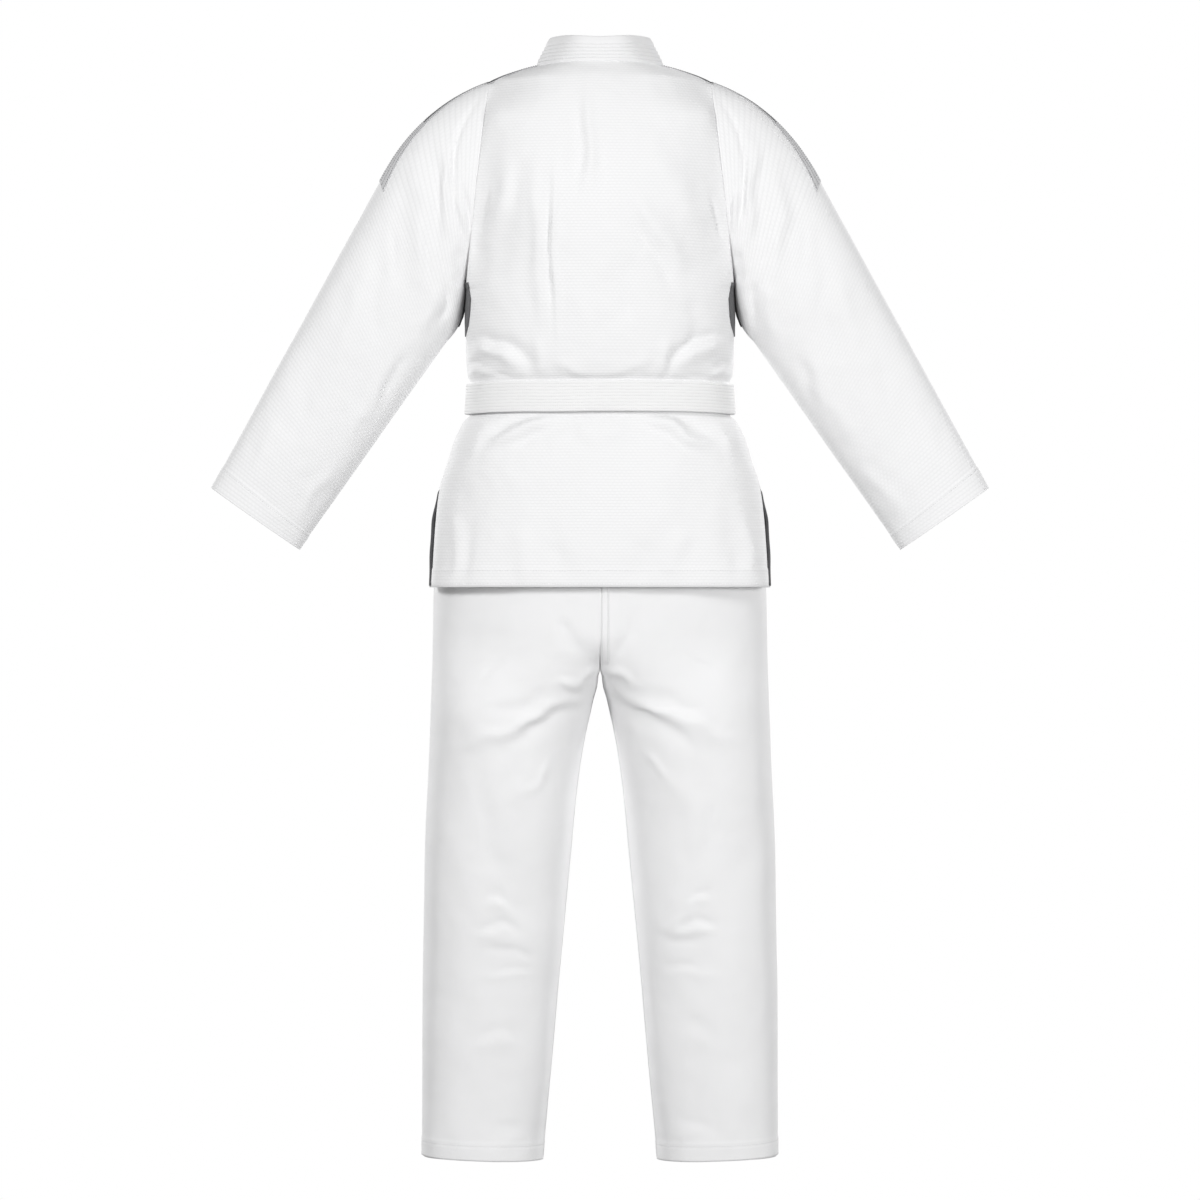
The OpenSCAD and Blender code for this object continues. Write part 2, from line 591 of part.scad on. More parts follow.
module leg_half(from, to) {
    angles = [for (a = [from:leg_step:to]) a];
    color(cotton) sheet(leg_grid(leg_shares, angles, 0), leg_grid(leg_shares, angles, -trouser_cloth));
}
module leg_back_panel() { leg_half(0, 180); }
module leg_front_panel() { leg_half(180, 360); }
module left_leg_back() { leg_back_panel(); }
module right_leg_back() { mirror([1, 0, 0]) leg_back_panel(); }
module left_leg_front() { leg_front_panel(); }
module right_leg_front() { mirror([1, 0, 0]) leg_front_panel(); }

// The double layer over each knee, and the tape inside each hem
module knee_patch() {
    angles = [for (a = [180 + 3 * leg_step:leg_step:360 - 3 * leg_step]) a];
    color(cotton) sheet(leg_grid(knee_shares, angles, trim_t), leg_grid(knee_shares, angles, seam_gap));
}
module leg_hem_tape() {
    angles = [for (a = [0:leg_step:359]) a];
    outer = leg_grid([tape_share, 1], angles, -trouser_cloth - seam_gap);
    inner = leg_grid([tape_share, 1], angles, -trouser_cloth - trim_t);
    color(cotton) sheet(outer, inner, true);
}
module left_knee_patch() { knee_patch(); }
module right_knee_patch() { mirror([1, 0, 0]) knee_patch(); }
module left_leg_hem_tape() { leg_hem_tape(); }
module right_leg_hem_tape() { mirror([1, 0, 0]) leg_hem_tape(); }

// The waistband is a channel for the drawstring. Its two ends stop short of each other at the front.
function waist_pt(z, a, off) =
    let (right = a > 90 && a < 270, p = leg_pt(z, right ? 180 - a : a, off))
    right ? mirror_x(p) : p;
module waistband_layer(top, low, angles, inner_off, outer_off) {
    zs = [top, low];
    sheet([for (z = zs) [for (a = angles) waist_pt(z, a, outer_off)]],
          [for (z = zs) [for (a = angles) waist_pt(z, a, inner_off)]]);
}
channel_end = 3;
channel_t = trim_t + 0.4;
loop_half = 2.2;
loop_inset = 3;
module trousers_waistband() {
    middle = [for (a = [-90 + leg_step:leg_step:270 - leg_step]) a];
    angles = concat([-90 + channel_end], middle, [270 - channel_end]);
    color(cotton) waistband_layer(waistband_z, waistband_z - waistband_h, angles, joint_gap, channel_t);
}
module drawstring_loops() {
    color(cotton)
        for (k = [3, 7, 14, 26, 33, 37])
            let (a = -90 + k * leg_step)
                waistband_layer(waistband_z - loop_inset, waistband_z - waistband_h + loop_inset,
                                [a - loop_half, a, a + loop_half], channel_t + seam_gap, channel_t + trim_t);
}

// Flat-felled strips over the seams in the middle of the seat and of the front
strip_w = 16;
module rise_strip(a) {
    zs = slice(seat_levels, 2, len(seat_levels) - 2);
    xs = [-strip_w / 2, 0, strip_w / 2];
    pt = function (x, z, off) let (p = leg_pt(z, a, off)) [x, p.y, z];
    color(cotton)
        sheet([for (z = zs) [for (x = xs) pt(x, z, trim_t)]],
              [for (z = zs) [for (x = xs) pt(x, z, seam_gap)]]);
}
module back_rise_strip() { rise_strip(90); }
module front_rise_strip() { rise_strip(270); }

jacket_back_panel();
jacket_left_front();
jacket_right_front();
collar_cover();
collar_core();
back_yoke_lining();
left_shoulder_band();
right_shoulder_band();
left_vent_tape();
right_vent_tape();
left_underarm_gusset();
right_underarm_gusset();
left_front_hem_tape();
right_front_hem_tape();
jacket_back_tail();
back_hem_tape();
left_sleeve();
left_sleeve_band();
left_cuff_tape();
left_sleeve_gusset();
right_sleeve();
right_sleeve_band();
right_cuff_tape();
right_sleeve_gusset();
belt_inner_wrap();
belt_outer_wrap();
belt_knot();
belt_left_end();
belt_right_end();
trousers_waistband();
drawstring_loops();
left_seat_panel();
right_seat_panel();
crotch_gusset();
back_rise_strip();
front_rise_strip();
left_leg_front();
left_leg_back();
left_knee_patch();
left_leg_hem_tape();
right_leg_front();
right_leg_back();
right_knee_patch();
right_leg_hem_tape();
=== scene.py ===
# A crossed martial arts jacket with its belt, and drawstring trousers, as worn by an invisible wearer.
# Lengths below are millimetres, in the CAD frame; the meshes are made in metres.
# The back faces +Y, the front faces -Y, the wearer's left is +X, and the jacket's origin is the neck.
import math

import bmesh
import bpy
import numpy as np
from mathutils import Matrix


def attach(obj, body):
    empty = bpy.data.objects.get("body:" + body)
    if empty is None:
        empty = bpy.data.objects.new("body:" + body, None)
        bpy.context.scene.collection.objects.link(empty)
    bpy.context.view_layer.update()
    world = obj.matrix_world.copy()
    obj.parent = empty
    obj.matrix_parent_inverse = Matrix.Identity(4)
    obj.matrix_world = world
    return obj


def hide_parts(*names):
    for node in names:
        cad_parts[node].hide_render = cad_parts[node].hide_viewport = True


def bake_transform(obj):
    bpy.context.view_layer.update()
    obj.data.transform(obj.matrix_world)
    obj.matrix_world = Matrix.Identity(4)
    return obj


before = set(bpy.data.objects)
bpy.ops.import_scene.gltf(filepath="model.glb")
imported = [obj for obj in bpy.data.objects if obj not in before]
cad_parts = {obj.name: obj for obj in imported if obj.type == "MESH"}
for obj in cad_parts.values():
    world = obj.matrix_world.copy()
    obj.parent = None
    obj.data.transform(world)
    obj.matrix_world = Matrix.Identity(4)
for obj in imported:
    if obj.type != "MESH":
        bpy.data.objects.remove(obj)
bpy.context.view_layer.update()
MM = 0.001
PI = math.pi

# Camera: level, straight behind the garment, at half of its height
VIEW_WIDTH = 1.68
DISTANCE = 6.0
CENTRE_Z = -0.748
cam = bpy.data.cameras.new("Camera")
cam.sensor_width = 36
cam.lens = 36 * DISTANCE / VIEW_WIDTH
camera = bpy.data.objects.new("Camera", cam)
camera.location = (0, DISTANCE, CENTRE_Z)
camera.rotation_euler = (PI / 2, 0, PI)
bpy.context.scene.collection.objects.link(camera)
bpy.context.scene.camera = camera


# Curves and small helpers
def mix(a, b, t):
    return a + (b - a) * t


def clamp01(t):
    return np.clip(t, 0, 1)


def smooth(t):
    t = clamp01(t)
    return t * t * (3 - 2 * t)


def spread(*parts):
    """Values in runs: (start, end, steps) each, and every run starts where the one before it ends."""
    out = [parts[0][0]]
    for a, b, n in parts:
        out += list(np.linspace(a, b, n + 1)[1:])
    return np.array(out, float)


def curve(*knots):
    """A smooth line through the knots that never overshoots them."""
    k = np.array(sorted(knots), float)
    x, y = k[:, 0], k[:, 1]
    h = np.diff(x)
    d = np.diff(y) / h
    m = np.zeros_like(y)
    m[0], m[-1] = d[0], d[-1]
    same = d[:-1] * d[1:] > 0
    w1, w2 = 2 * h[1:] + h[:-1], h[1:] + 2 * h[:-1]
    m[1:-1][same] = (w1 + w2)[same] / (w1[same] / d[:-1][same] + w2[same] / d[1:][same])

    def at(t):
        t = np.clip(np.asarray(t, float), x[0], x[-1])
        i = np.clip(np.searchsorted(x, t, side="right") - 1, 0, len(h) - 1)
        s = (t - x[i]) / h[i]
        return ((1 + 2 * s) * (1 - s) ** 2 * y[i] + s * (1 - s) ** 2 * h[i] * m[i]
                + s * s * (3 - 2 * s) * y[i + 1] + s * s * (s - 1) * h[i] * m[i + 1])

    return at


def plane(rows, cols):
    """Two grids, of the row values and of the column values."""
    return np.meshgrid(rows, cols, indexing="ij")


def signed_pow(t, p):
    return np.sign(t) * np.abs(t) ** p


def stack(x, y, z):
    x, y, z = np.broadcast_arrays(x, y, z)
    return np.stack([x, y, z], -1).astype(float)


def flip_x(p):
    return p * np.array([-1.0, 1.0, 1.0])


# The jacket's measures
DROP = 24.0
UNDER = -314.0
ARM_MID = -169.0
ARM_R = 145.0
BELT_TOP, BELT_Z, BELT_LOW = -446.0, -467.0, -488.0
VENT = -594.0
HEM = -730.0
CLOTH = 2.2
HEM_FOLD, HEM_SEAM = 24, 22  # the turned hem, and its row of stitches

edge_x = curve((HEM, 234), (-680, 232), (-630, 229), (VENT, 225), (-580, 221.5), (-552, 212), (-524, 203.5),
               (-508, 196), (-496, 189), (BELT_LOW, 180), (BELT_TOP, 180), (-434, 185), (-398, 187.5),
               (UNDER, 188), (-300, 186.4), (-200, 174.8), (-100, 163.1), (-42, 156.4), (-DROP, 155),
               (-15, 136), (-5.5, 106), (0, 84))
back_d = curve((HEM, 129), (-660, 125), (VENT, 119), (-540, 112), (-510, 106), (-498, 102), (BELT_LOW, 98),
               (BELT_TOP, 98), (-436, 104), (-418, 109), (-360, 113), (-240, 119), (-150, 113), (-75, 96),
               (-DROP, 78), (0, 60))
front_d = curve((HEM, 125), (VENT, 119), (-540, 112), (-512, 107), (-500, 103), (BELT_LOW, 99.5),
                (BELT_TOP, 99.5), (-436, 104), (-420, 108), (-360, 111), (-240, 116), (-150, 106), (-80, 88),
                (-DROP, 62), (0, 30))


def arm_y(z):
    return 64 * np.sqrt(np.clip(1 - ((z - ARM_MID) / ARM_R) ** 2, 0, 1))


def side_y(z, u, out):
    """How far from the middle plane the cloth's edge is: the sleeve's oval on its very edge,
    and a softer line further in; below the vent it is the spread of the tails."""
    soft = 60 * smooth((z - UNDER + 6) / 120) * smooth((4 - DROP - z) / 60)
    at_arm = mix(soft, np.where(z < -DROP, arm_y(z), 0), np.abs(u) ** 14)
    return np.where(z > UNDER, at_arm, out * clamp01((VENT - z) / (VENT - HEM)))


def rounded(u, p=2.3):
    return np.clip(1 - np.abs(u) ** p, 0, 1) ** (1 / p)


def profile(u, z):
    return mix(rounded(u), 1 - np.minimum(1, np.abs(u)) ** 2.6, smooth((z - UNDER + 20) / 120))


def back_pt(z, u):
    y = side_y(z, u, 42)
    return stack(u * edge_x(z), y + (back_d(z) - y) * profile(u, z), z)


FLARE = 5  # the front tails stand wider than the back tail


def front_pt(z, u):
    y = side_y(z, u, 30)
    x = edge_x(z) + FLARE * smooth((VENT - z) / 45)
    return stack(u * x, -(y + (front_d(z) - y) * profile(u, z)), z)


def lapel_x(z):
    return 84 + 0.276 * z + 0.13 * np.maximum(0, BELT_Z - z)


def lapel_free_x(z):
    return lapel_x(z) - 47.8


def tuck(x, z):
    return 9 * smooth((x - lapel_free_x(z) + 60) / 50)


# Sleeve, v from the armhole to the cuff, angle in degrees from the top edge over the back
SEAM_TOP, SEAM_LOW = np.array([155.0, 0, -24]), np.array([188.0, 0, -314])
CAP_END = np.array([302.0, 0, -153])
PIT_END = np.array([214.0, 0, -386])
SLEEVE_A = math.radians(28.8)
CUFF_TOP = CAP_END + 500 * np.array([math.sin(SLEEVE_A), 0, -math.cos(SLEEVE_A)])
CUFF_LOW = CUFF_TOP + 150 * np.array([-0.82, 0, -0.573])
CAP = 0.3  # the share of the sleeve that is its curved cap
SLEEVE_LONG = 560


def bend(a, b, c, t):
    t = np.asarray(t)[..., None]
    return a * (1 - t) ** 2 + b * 2 * t * (1 - t) + c * t * t


def sleeve_top(v):
    line = mix(CAP_END, CUFF_TOP, ((v - CAP) / (1 - CAP))[..., None])
    return np.where((v < CAP)[..., None], bend(SEAM_TOP, SEAM_TOP + [94, 0, -33], CAP_END, v / CAP), line)


def sleeve_low(v):
    line = mix(PIT_END, CUFF_LOW, ((v - CAP) / (1 - CAP))[..., None])
    return np.where((v < CAP)[..., None], bend(SEAM_LOW, SEAM_LOW + [-4, 0, -44], PIT_END, v / CAP), line)


sleeve_half = curve((0, 64), (0.12, 64), (0.3, 60), (0.65, 50), (1, 34))


def sleeve_pt(v, a):
    v, a = np.broadcast_arrays(np.asarray(v, float), np.radians(np.asarray(a, float)))
    top, low = sleeve_top(v), sleeve_low(v)
    mid, arm = (top + low) / 2, (top - low) / 2
    p = mid + arm * signed_pow(np.cos(a), mix(1, 0.93, smooth(v / 0.3)))[..., None]
    p[..., 1] = sleeve_half(v) * signed_pow(np.sin(a), mix(1, 0.93, smooth(v / 0.3)))
    p[..., 0] += 0.9
    return p


LEG_OVAL = 2.15  # 2 is an ellipse, and more is squarer
# Trousers, the loop round the left leg at height z, angle in degrees from the outside over the back
CROTCH, ANKLE, WAIST = -843.0, -1526.0, -545.0
out_x = curve((ANKLE, 249), (-1310, 248.5), (-1188, 246.5), (-1098, 245), (-958, 239), (CROTCH, 235),
              (-716, 232), (-640, 222), (-583, 196), (WAIST, 164))
in_x = curve((ANKLE, 81), (-1378, 67), (-1238, 54.5), (-1098, 41), (-1028, 34.5), (-958, 25), (-888, 10.5),
             (-860, 3.4), (CROTCH, 2))
leg_back = curve((ANKLE, 62), (-1188, 82), (-988, 98), (-900, 106), (CROTCH, 111), (-770, 114), (-716, 115),
                 (-600, 96), (WAIST, 84))
leg_front = curve((ANKLE, 62), (-1188, 82), (-988, 96), (CROTCH, 102), (-770, 106), (-716, 108), (-600, 92),
                  (WAIST, 80))


def leg_pt(z, a):
    z, a = np.broadcast_arrays(np.asarray(z, float), np.radians(np.asarray(a, float)))
    t = clamp01((CROTCH - z) / 80)
    inner = np.where(z > CROTCH, 0, in_x(z))
    m = (out_x(z) + inner) / 2 * (1 - (1 - t) ** 2)
    m = np.maximum(m, np.where(z <= CROTCH, inner, 0))
    c, s = signed_pow(np.cos(a), 2 / LEG_OVAL), signed_pow(np.sin(a), 2 / LEG_OVAL)
    x = np.where(c >= 0, m + (out_x(z) - m) * c, m + np.maximum(0, m - inner) * c)
    y = np.where(s >= 0, leg_back(z), leg_front(z)) * s
    return stack(x, y, z)


# Folds: a line on the cloth with a height and a width on each side of it, as seen from the back
def fold(x, z, points, height, left, right, tail=0.35):
    """Height in mm; left and right are widths in mm on the two sides of the line."""
    pts = np.array(points, float)
    seg = np.hypot(*np.diff(pts, axis=0).T)
    start = np.concatenate([[0], np.cumsum(seg)])
    best = np.full(x.shape, 1e9)
    side = np.zeros(x.shape)
    along = np.zeros(x.shape)
    for i in range(len(seg)):
        d = (pts[i + 1] - pts[i]) / seg[i]
        rx, rz = x - pts[i][0], z - pts[i][1]
        t = np.clip(rx * d[0] + rz * d[1], 0, seg[i])
        dist = np.hypot(rx - t * d[0], rz - t * d[1])
        near = dist < best
        best = np.where(near, dist, best)
        side = np.where(near, np.sign(rx * d[1] - rz * d[0]), side)
        along = np.where(near, (start[i] + t) / start[-1], along)
    width = np.where(side > 0, right, left)
    ends = smooth(along / tail) * smooth((1 - along) / tail)
    return height * np.exp(-((best / width) ** 2)) * (0.15 + 0.85 * ends)


def folds(x, z, *rows):
    total = np.zeros(x.shape)
    for points, height, left, right in rows:
        total += fold(x, z, points, height, left, right)
    return total


def waves(a, b, seed, size, height, stretch=1.0):
    """Gentle uneven swells of the cloth."""
    rng = np.random.RandomState(seed)
    total = np.zeros(np.broadcast(a, b).shape)
    for k in range(9):
        angle = rng.uniform(0, PI)
        length = size * rng.uniform(0.55, 1.9)
        ph, ph2 = rng.uniform(0, 2 * PI, 2)
        s = (a * math.cos(angle) + b * math.sin(angle) / stretch) * 2 * PI / length
        c = (-a * math.sin(angle) + b * math.cos(angle) / stretch) * 2 * PI / (length * 2.7)
        total += np.sin(s + ph + 1.3 * np.sin(c + ph2)) * length / size
    return total * height / 4


def uneven(x, z, seed, size=5.0):
    """Moves the points that folds are measured from, so that no fold is quite straight or even."""
    return x + waves(x, z, seed, 75, size), z + waves(x, z, seed + 1, 60, size)


# Meshes
def normals(p, centre, wrap=False):
    if wrap:
        q = np.concatenate([p[:, -1:], p, p[:, :1]], 1)
        dj = q[:, 2:] - q[:, :-2]
    else:
        dj = np.gradient(p, axis=1)
    n = np.cross(np.gradient(p, axis=0), dj)
    n /= np.linalg.norm(n, axis=2, keepdims=True) + 1e-9
    sign = 1.0 if np.sum(n * (p - centre)) >= 0 else -1.0
    return n * sign, sign


def mesh_object(name, verts, faces, material, uvs=None):
    me = bpy.data.meshes.new(name)
    me.from_pydata([tuple(v) for v in np.asarray(verts) * MM], [], faces)
    if uvs is not None:
        layer = me.uv_layers.new(name="Weave")
        loops = np.empty(len(me.loops), np.int32)
        me.loops.foreach_get("vertex_index", loops)
        layer.data.foreach_set("uv", (np.asarray(uvs) * MM)[loops].astype(np.float32).ravel())
    me.shade_smooth()
    me.materials.append(material)
    ob = bpy.data.objects.new(name, me)
    bpy.context.scene.collection.objects.link(ob)
    return ob


def lengths(p):
    du = np.linalg.norm(np.diff(p, axis=1), axis=2)
    u = np.concatenate([np.zeros((len(p), 1)), np.cumsum(du, 1)], 1)
    u -= u[:, u.shape[1] // 2][:, None]
    col = p[:, p.shape[1] // 2]
    v = np.concatenate([[0], np.cumsum(np.linalg.norm(np.diff(col, axis=0), axis=1))])
    return u, np.broadcast_to(-v[:, None], u.shape)


def cloth(name, p, centre, material, thick=CLOTH, wrap=False, lift=None, second=None):
    """A sheet over the grid p. Its outer face is the grid, pushed out by lift.
    second is another material and a true or false for each face, by row and column."""
    n, sign = normals(p, centre, wrap)
    if lift is not None:
        p = p + n * lift[..., None]
    rows, cols = p.shape[:2]
    u, v = lengths(p)
    idx = np.arange(rows * cols).reshape(rows, cols)
    right = np.roll(idx, -1, 1) if wrap else idx[:, 1:]
    left = idx if wrap else idx[:, :-1]
    quads = np.stack([left[:-1], left[1:], right[1:], right[:-1]], -1).reshape(-1, 4)
    if sign < 0:
        quads = quads[:, ::-1]
    ob = mesh_object(name, p.reshape(-1, 3), quads.tolist(), material,
                     np.stack([u, v], -1).reshape(-1, 2))
    if second:
        ob.data.materials.append(second[0])
        ob.data.polygons.foreach_set("material_index", np.asarray(second[1], np.int32).ravel())
    if thick:
        solid = ob.modifiers.new("Thickness", "SOLIDIFY")
        solid.thickness = thick * MM
        solid.offset = -1
        solid.use_even_offset = False
        solid.use_quality_normals = True
    return ob, p, n


def sample(p, r, c):
    """Points of a grid at fractional rows and columns."""
    r = np.clip(np.asarray(r, float), 0, p.shape[0] - 1.001)
    c = np.clip(np.asarray(c, float), 0, p.shape[1] - 1.001)
    i, j = r.astype(int), c.astype(int)
    f, g = (r - i)[..., None], (c - j)[..., None]
    return (p[i, j] * (1 - f) * (1 - g) + p[i + 1, j] * f * (1 - g)
            + p[i, j + 1] * (1 - f) * g + p[i + 1, j + 1] * f * g)


def even(points, step):
    """Points an even step apart along a line."""
    seg = np.linalg.norm(np.diff(points, axis=0), axis=1)
    s = np.concatenate([[0], np.cumsum(seg)])
    t = np.arange(step / 2, s[-1], step)
    return np.stack([np.interp(t, s, points[:, k]) for k in range(points.shape[1])], 1)


THREAD_RAISE = 0.1


def stitches(name, lines, material, pitch=3.6, radius=0.32, share=0.72):
    """Thread: a short rounded bar for each stitch, along lines of points with their normals."""
    verts, faces = [], []
    ring = np.arange(5) * 2 * PI / 5
    for pts, nor in lines:
        both = even(np.concatenate([pts, nor], 1), pitch)
        if len(both) < 2:
            continue
        q, n = both[:, :3], both[:, 3:]
        n = n / (np.linalg.norm(n, axis=1, keepdims=True) + 1e-9)
        t = np.gradient(q, axis=0)
        t /= np.linalg.norm(t, axis=1, keepdims=True) + 1e-9
        side = np.cross(t, n)
        for k in range(len(q)):
            base = len(verts)
            for s, rad, up in ((-1, 0.25, -0.5), (-0.6, 1, 0.35), (0.6, 1, 0.35), (1, 0.25, -0.5)):
                c = q[k] + t[k] * (s * share * pitch / 2) + n[k] * (THREAD_RAISE + up * radius)
                for a in ring:
                    verts.append(c + radius * rad * (math.cos(a) * side[k] + math.sin(a) * n[k]))
            for r in range(3):
                for a in range(5):
                    b = (a + 1) % 5
                    at = base + r * 5
                    faces.append([at + a, at + b, at + 5 + b, at + 5 + a])
            faces.append([base + a for a in range(4, -1, -1)])
            faces.append([base + 15 + a for a in range(5)])
    return mesh_object(name, verts, faces, material)


# Materials
ROUGH, SHEEN, SHEEN_ROUGH, SPECULAR = 0.9, 0.15, 0.6, 0.25
BUMP_HEIGHT = 0.0006
FUZZ = 0.015


def fabric(name, colour, weave, pitch, bump, vary=0.035):
    """pitch is the width of a rib or thread in mm, vary how far the tone wanders and how dark the painted
    shade in the hollows is.
    """
    mat = bpy.data.materials.new(name)
    mat.use_nodes = True
    nt = mat.node_tree
    nodes, links = nt.nodes, nt.links
    bsdf = nodes["Principled BSDF"]
    for socket, value in (("Roughness", ROUGH), ("Sheen Weight", SHEEN), ("Sheen Roughness", SHEEN_ROUGH),
                          ("Specular IOR Level", SPECULAR)):
        bsdf.inputs[socket].default_value = value

    def calc(op, a, b=None):
        n = nodes.new("ShaderNodeMath")
        n.operation = op
        for socket, value in zip(n.inputs, (a, b)):
            if value is None:
                continue
            if isinstance(value, (int, float)):
                socket.default_value = value
            else:
                links.new(value, socket)
        return n.outputs[0]

    def ridges(x):
        return calc("ABSOLUTE", calc("SINE", calc("MULTIPLY", x, PI)))

    def noise(scale, detail):
        n = nodes.new("ShaderNodeTexNoise")
        n.inputs["Scale"].default_value = scale
        n.inputs["Detail"].default_value = detail
        links.new(coord.outputs["Object"], n.inputs["Vector"])
        return n.outputs["Fac"]

    uv = nodes.new("ShaderNodeUVMap")
    uv.uv_map = "Weave"
    split = nodes.new("ShaderNodeSeparateXYZ")
    links.new(uv.outputs[0], split.inputs[0])
    u, v = split.outputs[0], split.outputs[1]
    p = pitch * MM
    if weave == "pearl":
        row = calc("DIVIDE", v, p)
        odd = calc("MULTIPLY", calc("FLOOR", row), 0.5)
        rib = ridges(row)
        along = calc("ADD", calc("DIVIDE", u, p * 1.5), odd)
        grain = calc("SINE", calc("MULTIPLY", along, 2 * PI))
        height = calc("MULTIPLY", calc("POWER", rib, 0.6), calc("ADD", calc("MULTIPLY", grain, 0.22), 0.78))
    elif weave == "twill":
        slant = calc("ADD", calc("DIVIDE", u, p), calc("DIVIDE", v, p * 1.3))
        height = ridges(slant)
    else:
        height = calc("MULTIPLY", ridges(calc("DIVIDE", u, p)), ridges(calc("DIVIDE", v, p)))
    coord = nodes.new("ShaderNodeTexCoord")
    total = calc("ADD", height, calc("MULTIPLY", noise(900, 3), FUZZ))
    bumper = nodes.new("ShaderNodeBump")
    bumper.inputs["Strength"].default_value = bump
    bumper.inputs["Distance"].default_value = BUMP_HEIGHT
    links.new(total, bumper.inputs["Height"])
    links.new(bumper.outputs[0], bsdf.inputs["Normal"])
    # Slow change of tone, and painted shade that darkens the hollows between the threads
    ramp = nodes.new("ShaderNodeValToRGB")
    dark = [c * (1 - vary) for c in colour]
    # deep is the colour of the painted shade in the hollows between the threads
    deep = [c * (1 - 2.4 * vary) for c in colour]
    for stop, tone, place in zip(ramp.color_ramp.elements, (dark, colour), (0.3, 0.7)):
        stop.color = (*tone, 1)
        stop.position = place
    links.new(noise(7, 4), ramp.inputs[0])
    # Mixes in the painted shade where the weave is low, and the plain tone where it is high
    painted_hollow_shade = nodes.new("ShaderNodeMix")
    painted_hollow_shade.data_type = "RGBA"
    links.new(calc("POWER", calc("MINIMUM", height, 1.0), 0.8), painted_hollow_shade.inputs[0])
    painted_hollow_shade.inputs[6].default_value = (*deep, 1)
    links.new(ramp.outputs[0], painted_hollow_shade.inputs[7])
    links.new(painted_hollow_shade.outputs[2], bsdf.inputs["Base Color"])
    return mat


WHITE = (0.83, 0.83, 0.835)
PEARL = fabric("pearl_weave", WHITE, "pearl", 4.2, 0.5)
DRILL = fabric("collar_drill", WHITE, "twill", 1.6, 0.3)
TROUSER = fabric("trouser_drill", (0.87, 0.87, 0.875), "twill", 1.8, 0.45)
TAPE = fabric("hem_tape", (0.78, 0.78, 0.785), "plain", 1.2, 0.3)
BELT = fabric("belt_cotton", (0.87, 0.87, 0.87), "plain", 1.3, 0.35)
BAND = fabric("shoulder_band", (0.64, 0.64, 0.65), "twill", 1.4, 0.35, vary=0.06)
BAND_DARK = fabric("shoulder_band_core", (0.085, 0.085, 0.09), "twill", 1.4, 0.35, vary=0.1)
VENT_TAPE = fabric("vent_tape", (0.11, 0.11, 0.115), "twill", 1.3, 0.4, vary=0.1)
GUSSET = fabric("gusset_drill", (0.12, 0.12, 0.125), "twill", 1.5, 0.4, vary=0.1)
THREAD = fabric("thread", (0.74, 0.74, 0.745), "plain", 0.8, 0.2)
THREAD_GREY = fabric("thread_grey", (0.3, 0.3, 0.305), "plain", 0.8, 0.2)
THREAD_DARK = fabric("thread_dark", (0.12, 0.12, 0.125), "plain", 0.8, 0.2)
FLOOR = bpy.data.materials.new("studio_white")
FLOOR.use_nodes = True
FLOOR.node_tree.nodes.clear()
glow = FLOOR.node_tree.nodes.new("ShaderNodeEmission")
glow.inputs["Color"].default_value = (1, 1, 1, 1)
glow.inputs["Strength"].default_value = 1.0
stage_out = FLOOR.node_tree.nodes.new("ShaderNodeOutputMaterial")
FLOOR.node_tree.links.new(glow.outputs[0], stage_out.inputs[0])


# Studio: a white world, a white floor, and soft lamps
bpy.context.scene.view_settings.view_transform = "Standard"
world = bpy.data.worlds.new("Studio")
world.use_nodes = True
world.node_tree.nodes["Background"].inputs["Color"].default_value = (1, 1, 1, 1)
world.node_tree.nodes["Background"].inputs["Strength"].default_value = 0.36
bpy.context.scene.world = world


def studio_room():
    """A round white room: a flat floor just below the ankles, rounded into the wall and the ceiling."""
    floor_z, high, wide = -1640.0, 9000.0, 12000.0
    outline = [(0.0, floor_z), (8000.0, floor_z)]
    for a in np.radians(np.linspace(-90, 0, 9)[1:]):
        outline.append((8000 + 4000 * math.cos(a), floor_z + 4000 + 4000 * math.sin(a)))
    outline += [(wide, high - 3000), (8000.0, high), (0.0, high)]
    turn = np.linspace(0, 2 * PI, 49)[:-1]
    verts = [(r * math.cos(a), r * math.sin(a), z) for r, z in outline for a in turn]
    n = len(turn)
    faces = [[i * n + j, i * n + (j + 1) % n, (i + 1) * n + (j + 1) % n, (i + 1) * n + j]
             for i in range(len(outline) - 1) for j in range(n)]
    room = mesh_object("studio_room", verts, faces, FLOOR)
    # The room is only what the camera sees behind the garment; the world and the lamps light it
    room.visible_diffuse = room.visible_glossy = room.visible_transmission = room.visible_shadow = False


studio_room()


AIM = (0, 0, -0.8)


def lamp(name, place, size, power):
    data = bpy.data.lights.new(name, "AREA")
    data.shape = "DISK"
    data.size = size
    data.energy = power
    ob = bpy.data.objects.new(name, data)
    ob.location = place
    d = np.array(AIM) - np.array(place)
    ob.rotation_euler = (math.atan2(math.hypot(d[0], d[1]), -d[2]), 0, math.atan2(d[1], d[0]) - PI / 2)
    bpy.context.scene.collection.objects.link(ob)


# Two lamps behind the garment, on the camera's side, and the same two in front
for way, prefix in ((1, ""), (-1, "front_")):
    lamp(prefix + "key", (2.6 * way, 3.6 * way, 1.0), 1.1, 112)
    lamp(prefix + "fill", (-2.8 * way, 3.5 * way, -0.3), 1.4, 100)


def keep(ob, nodes=(), body="jacket"):
    """body is what the piece rides on, or (a, b, start, end) naming two bodies, for which the piece is not
    blended: its transform is only baked into its mesh.
    """
    if nodes:
        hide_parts(*nodes)
    if isinstance(body, str):
        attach(ob, body)
    else:
        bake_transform(ob)


def on_side(sign, *grids):
    """The grids as they are for the left side, or mirrored for the right."""
    return [flip_x(g) if sign < 0 else g for g in grids]


# Jacket back: one cloth from the neck to the hem, free of the fronts below the vents

def torso_centre(p):
    return p * np.array([0.0, 0, 1])


def mirrored(*rows):
    """Each row, and the same row on the other side of the centre."""
    out = []
    for points, height, left, right in rows:
        out.append((points, height, left, right))
        out.append(([(-x, z) for x, z in points], height, right, left))
    return out


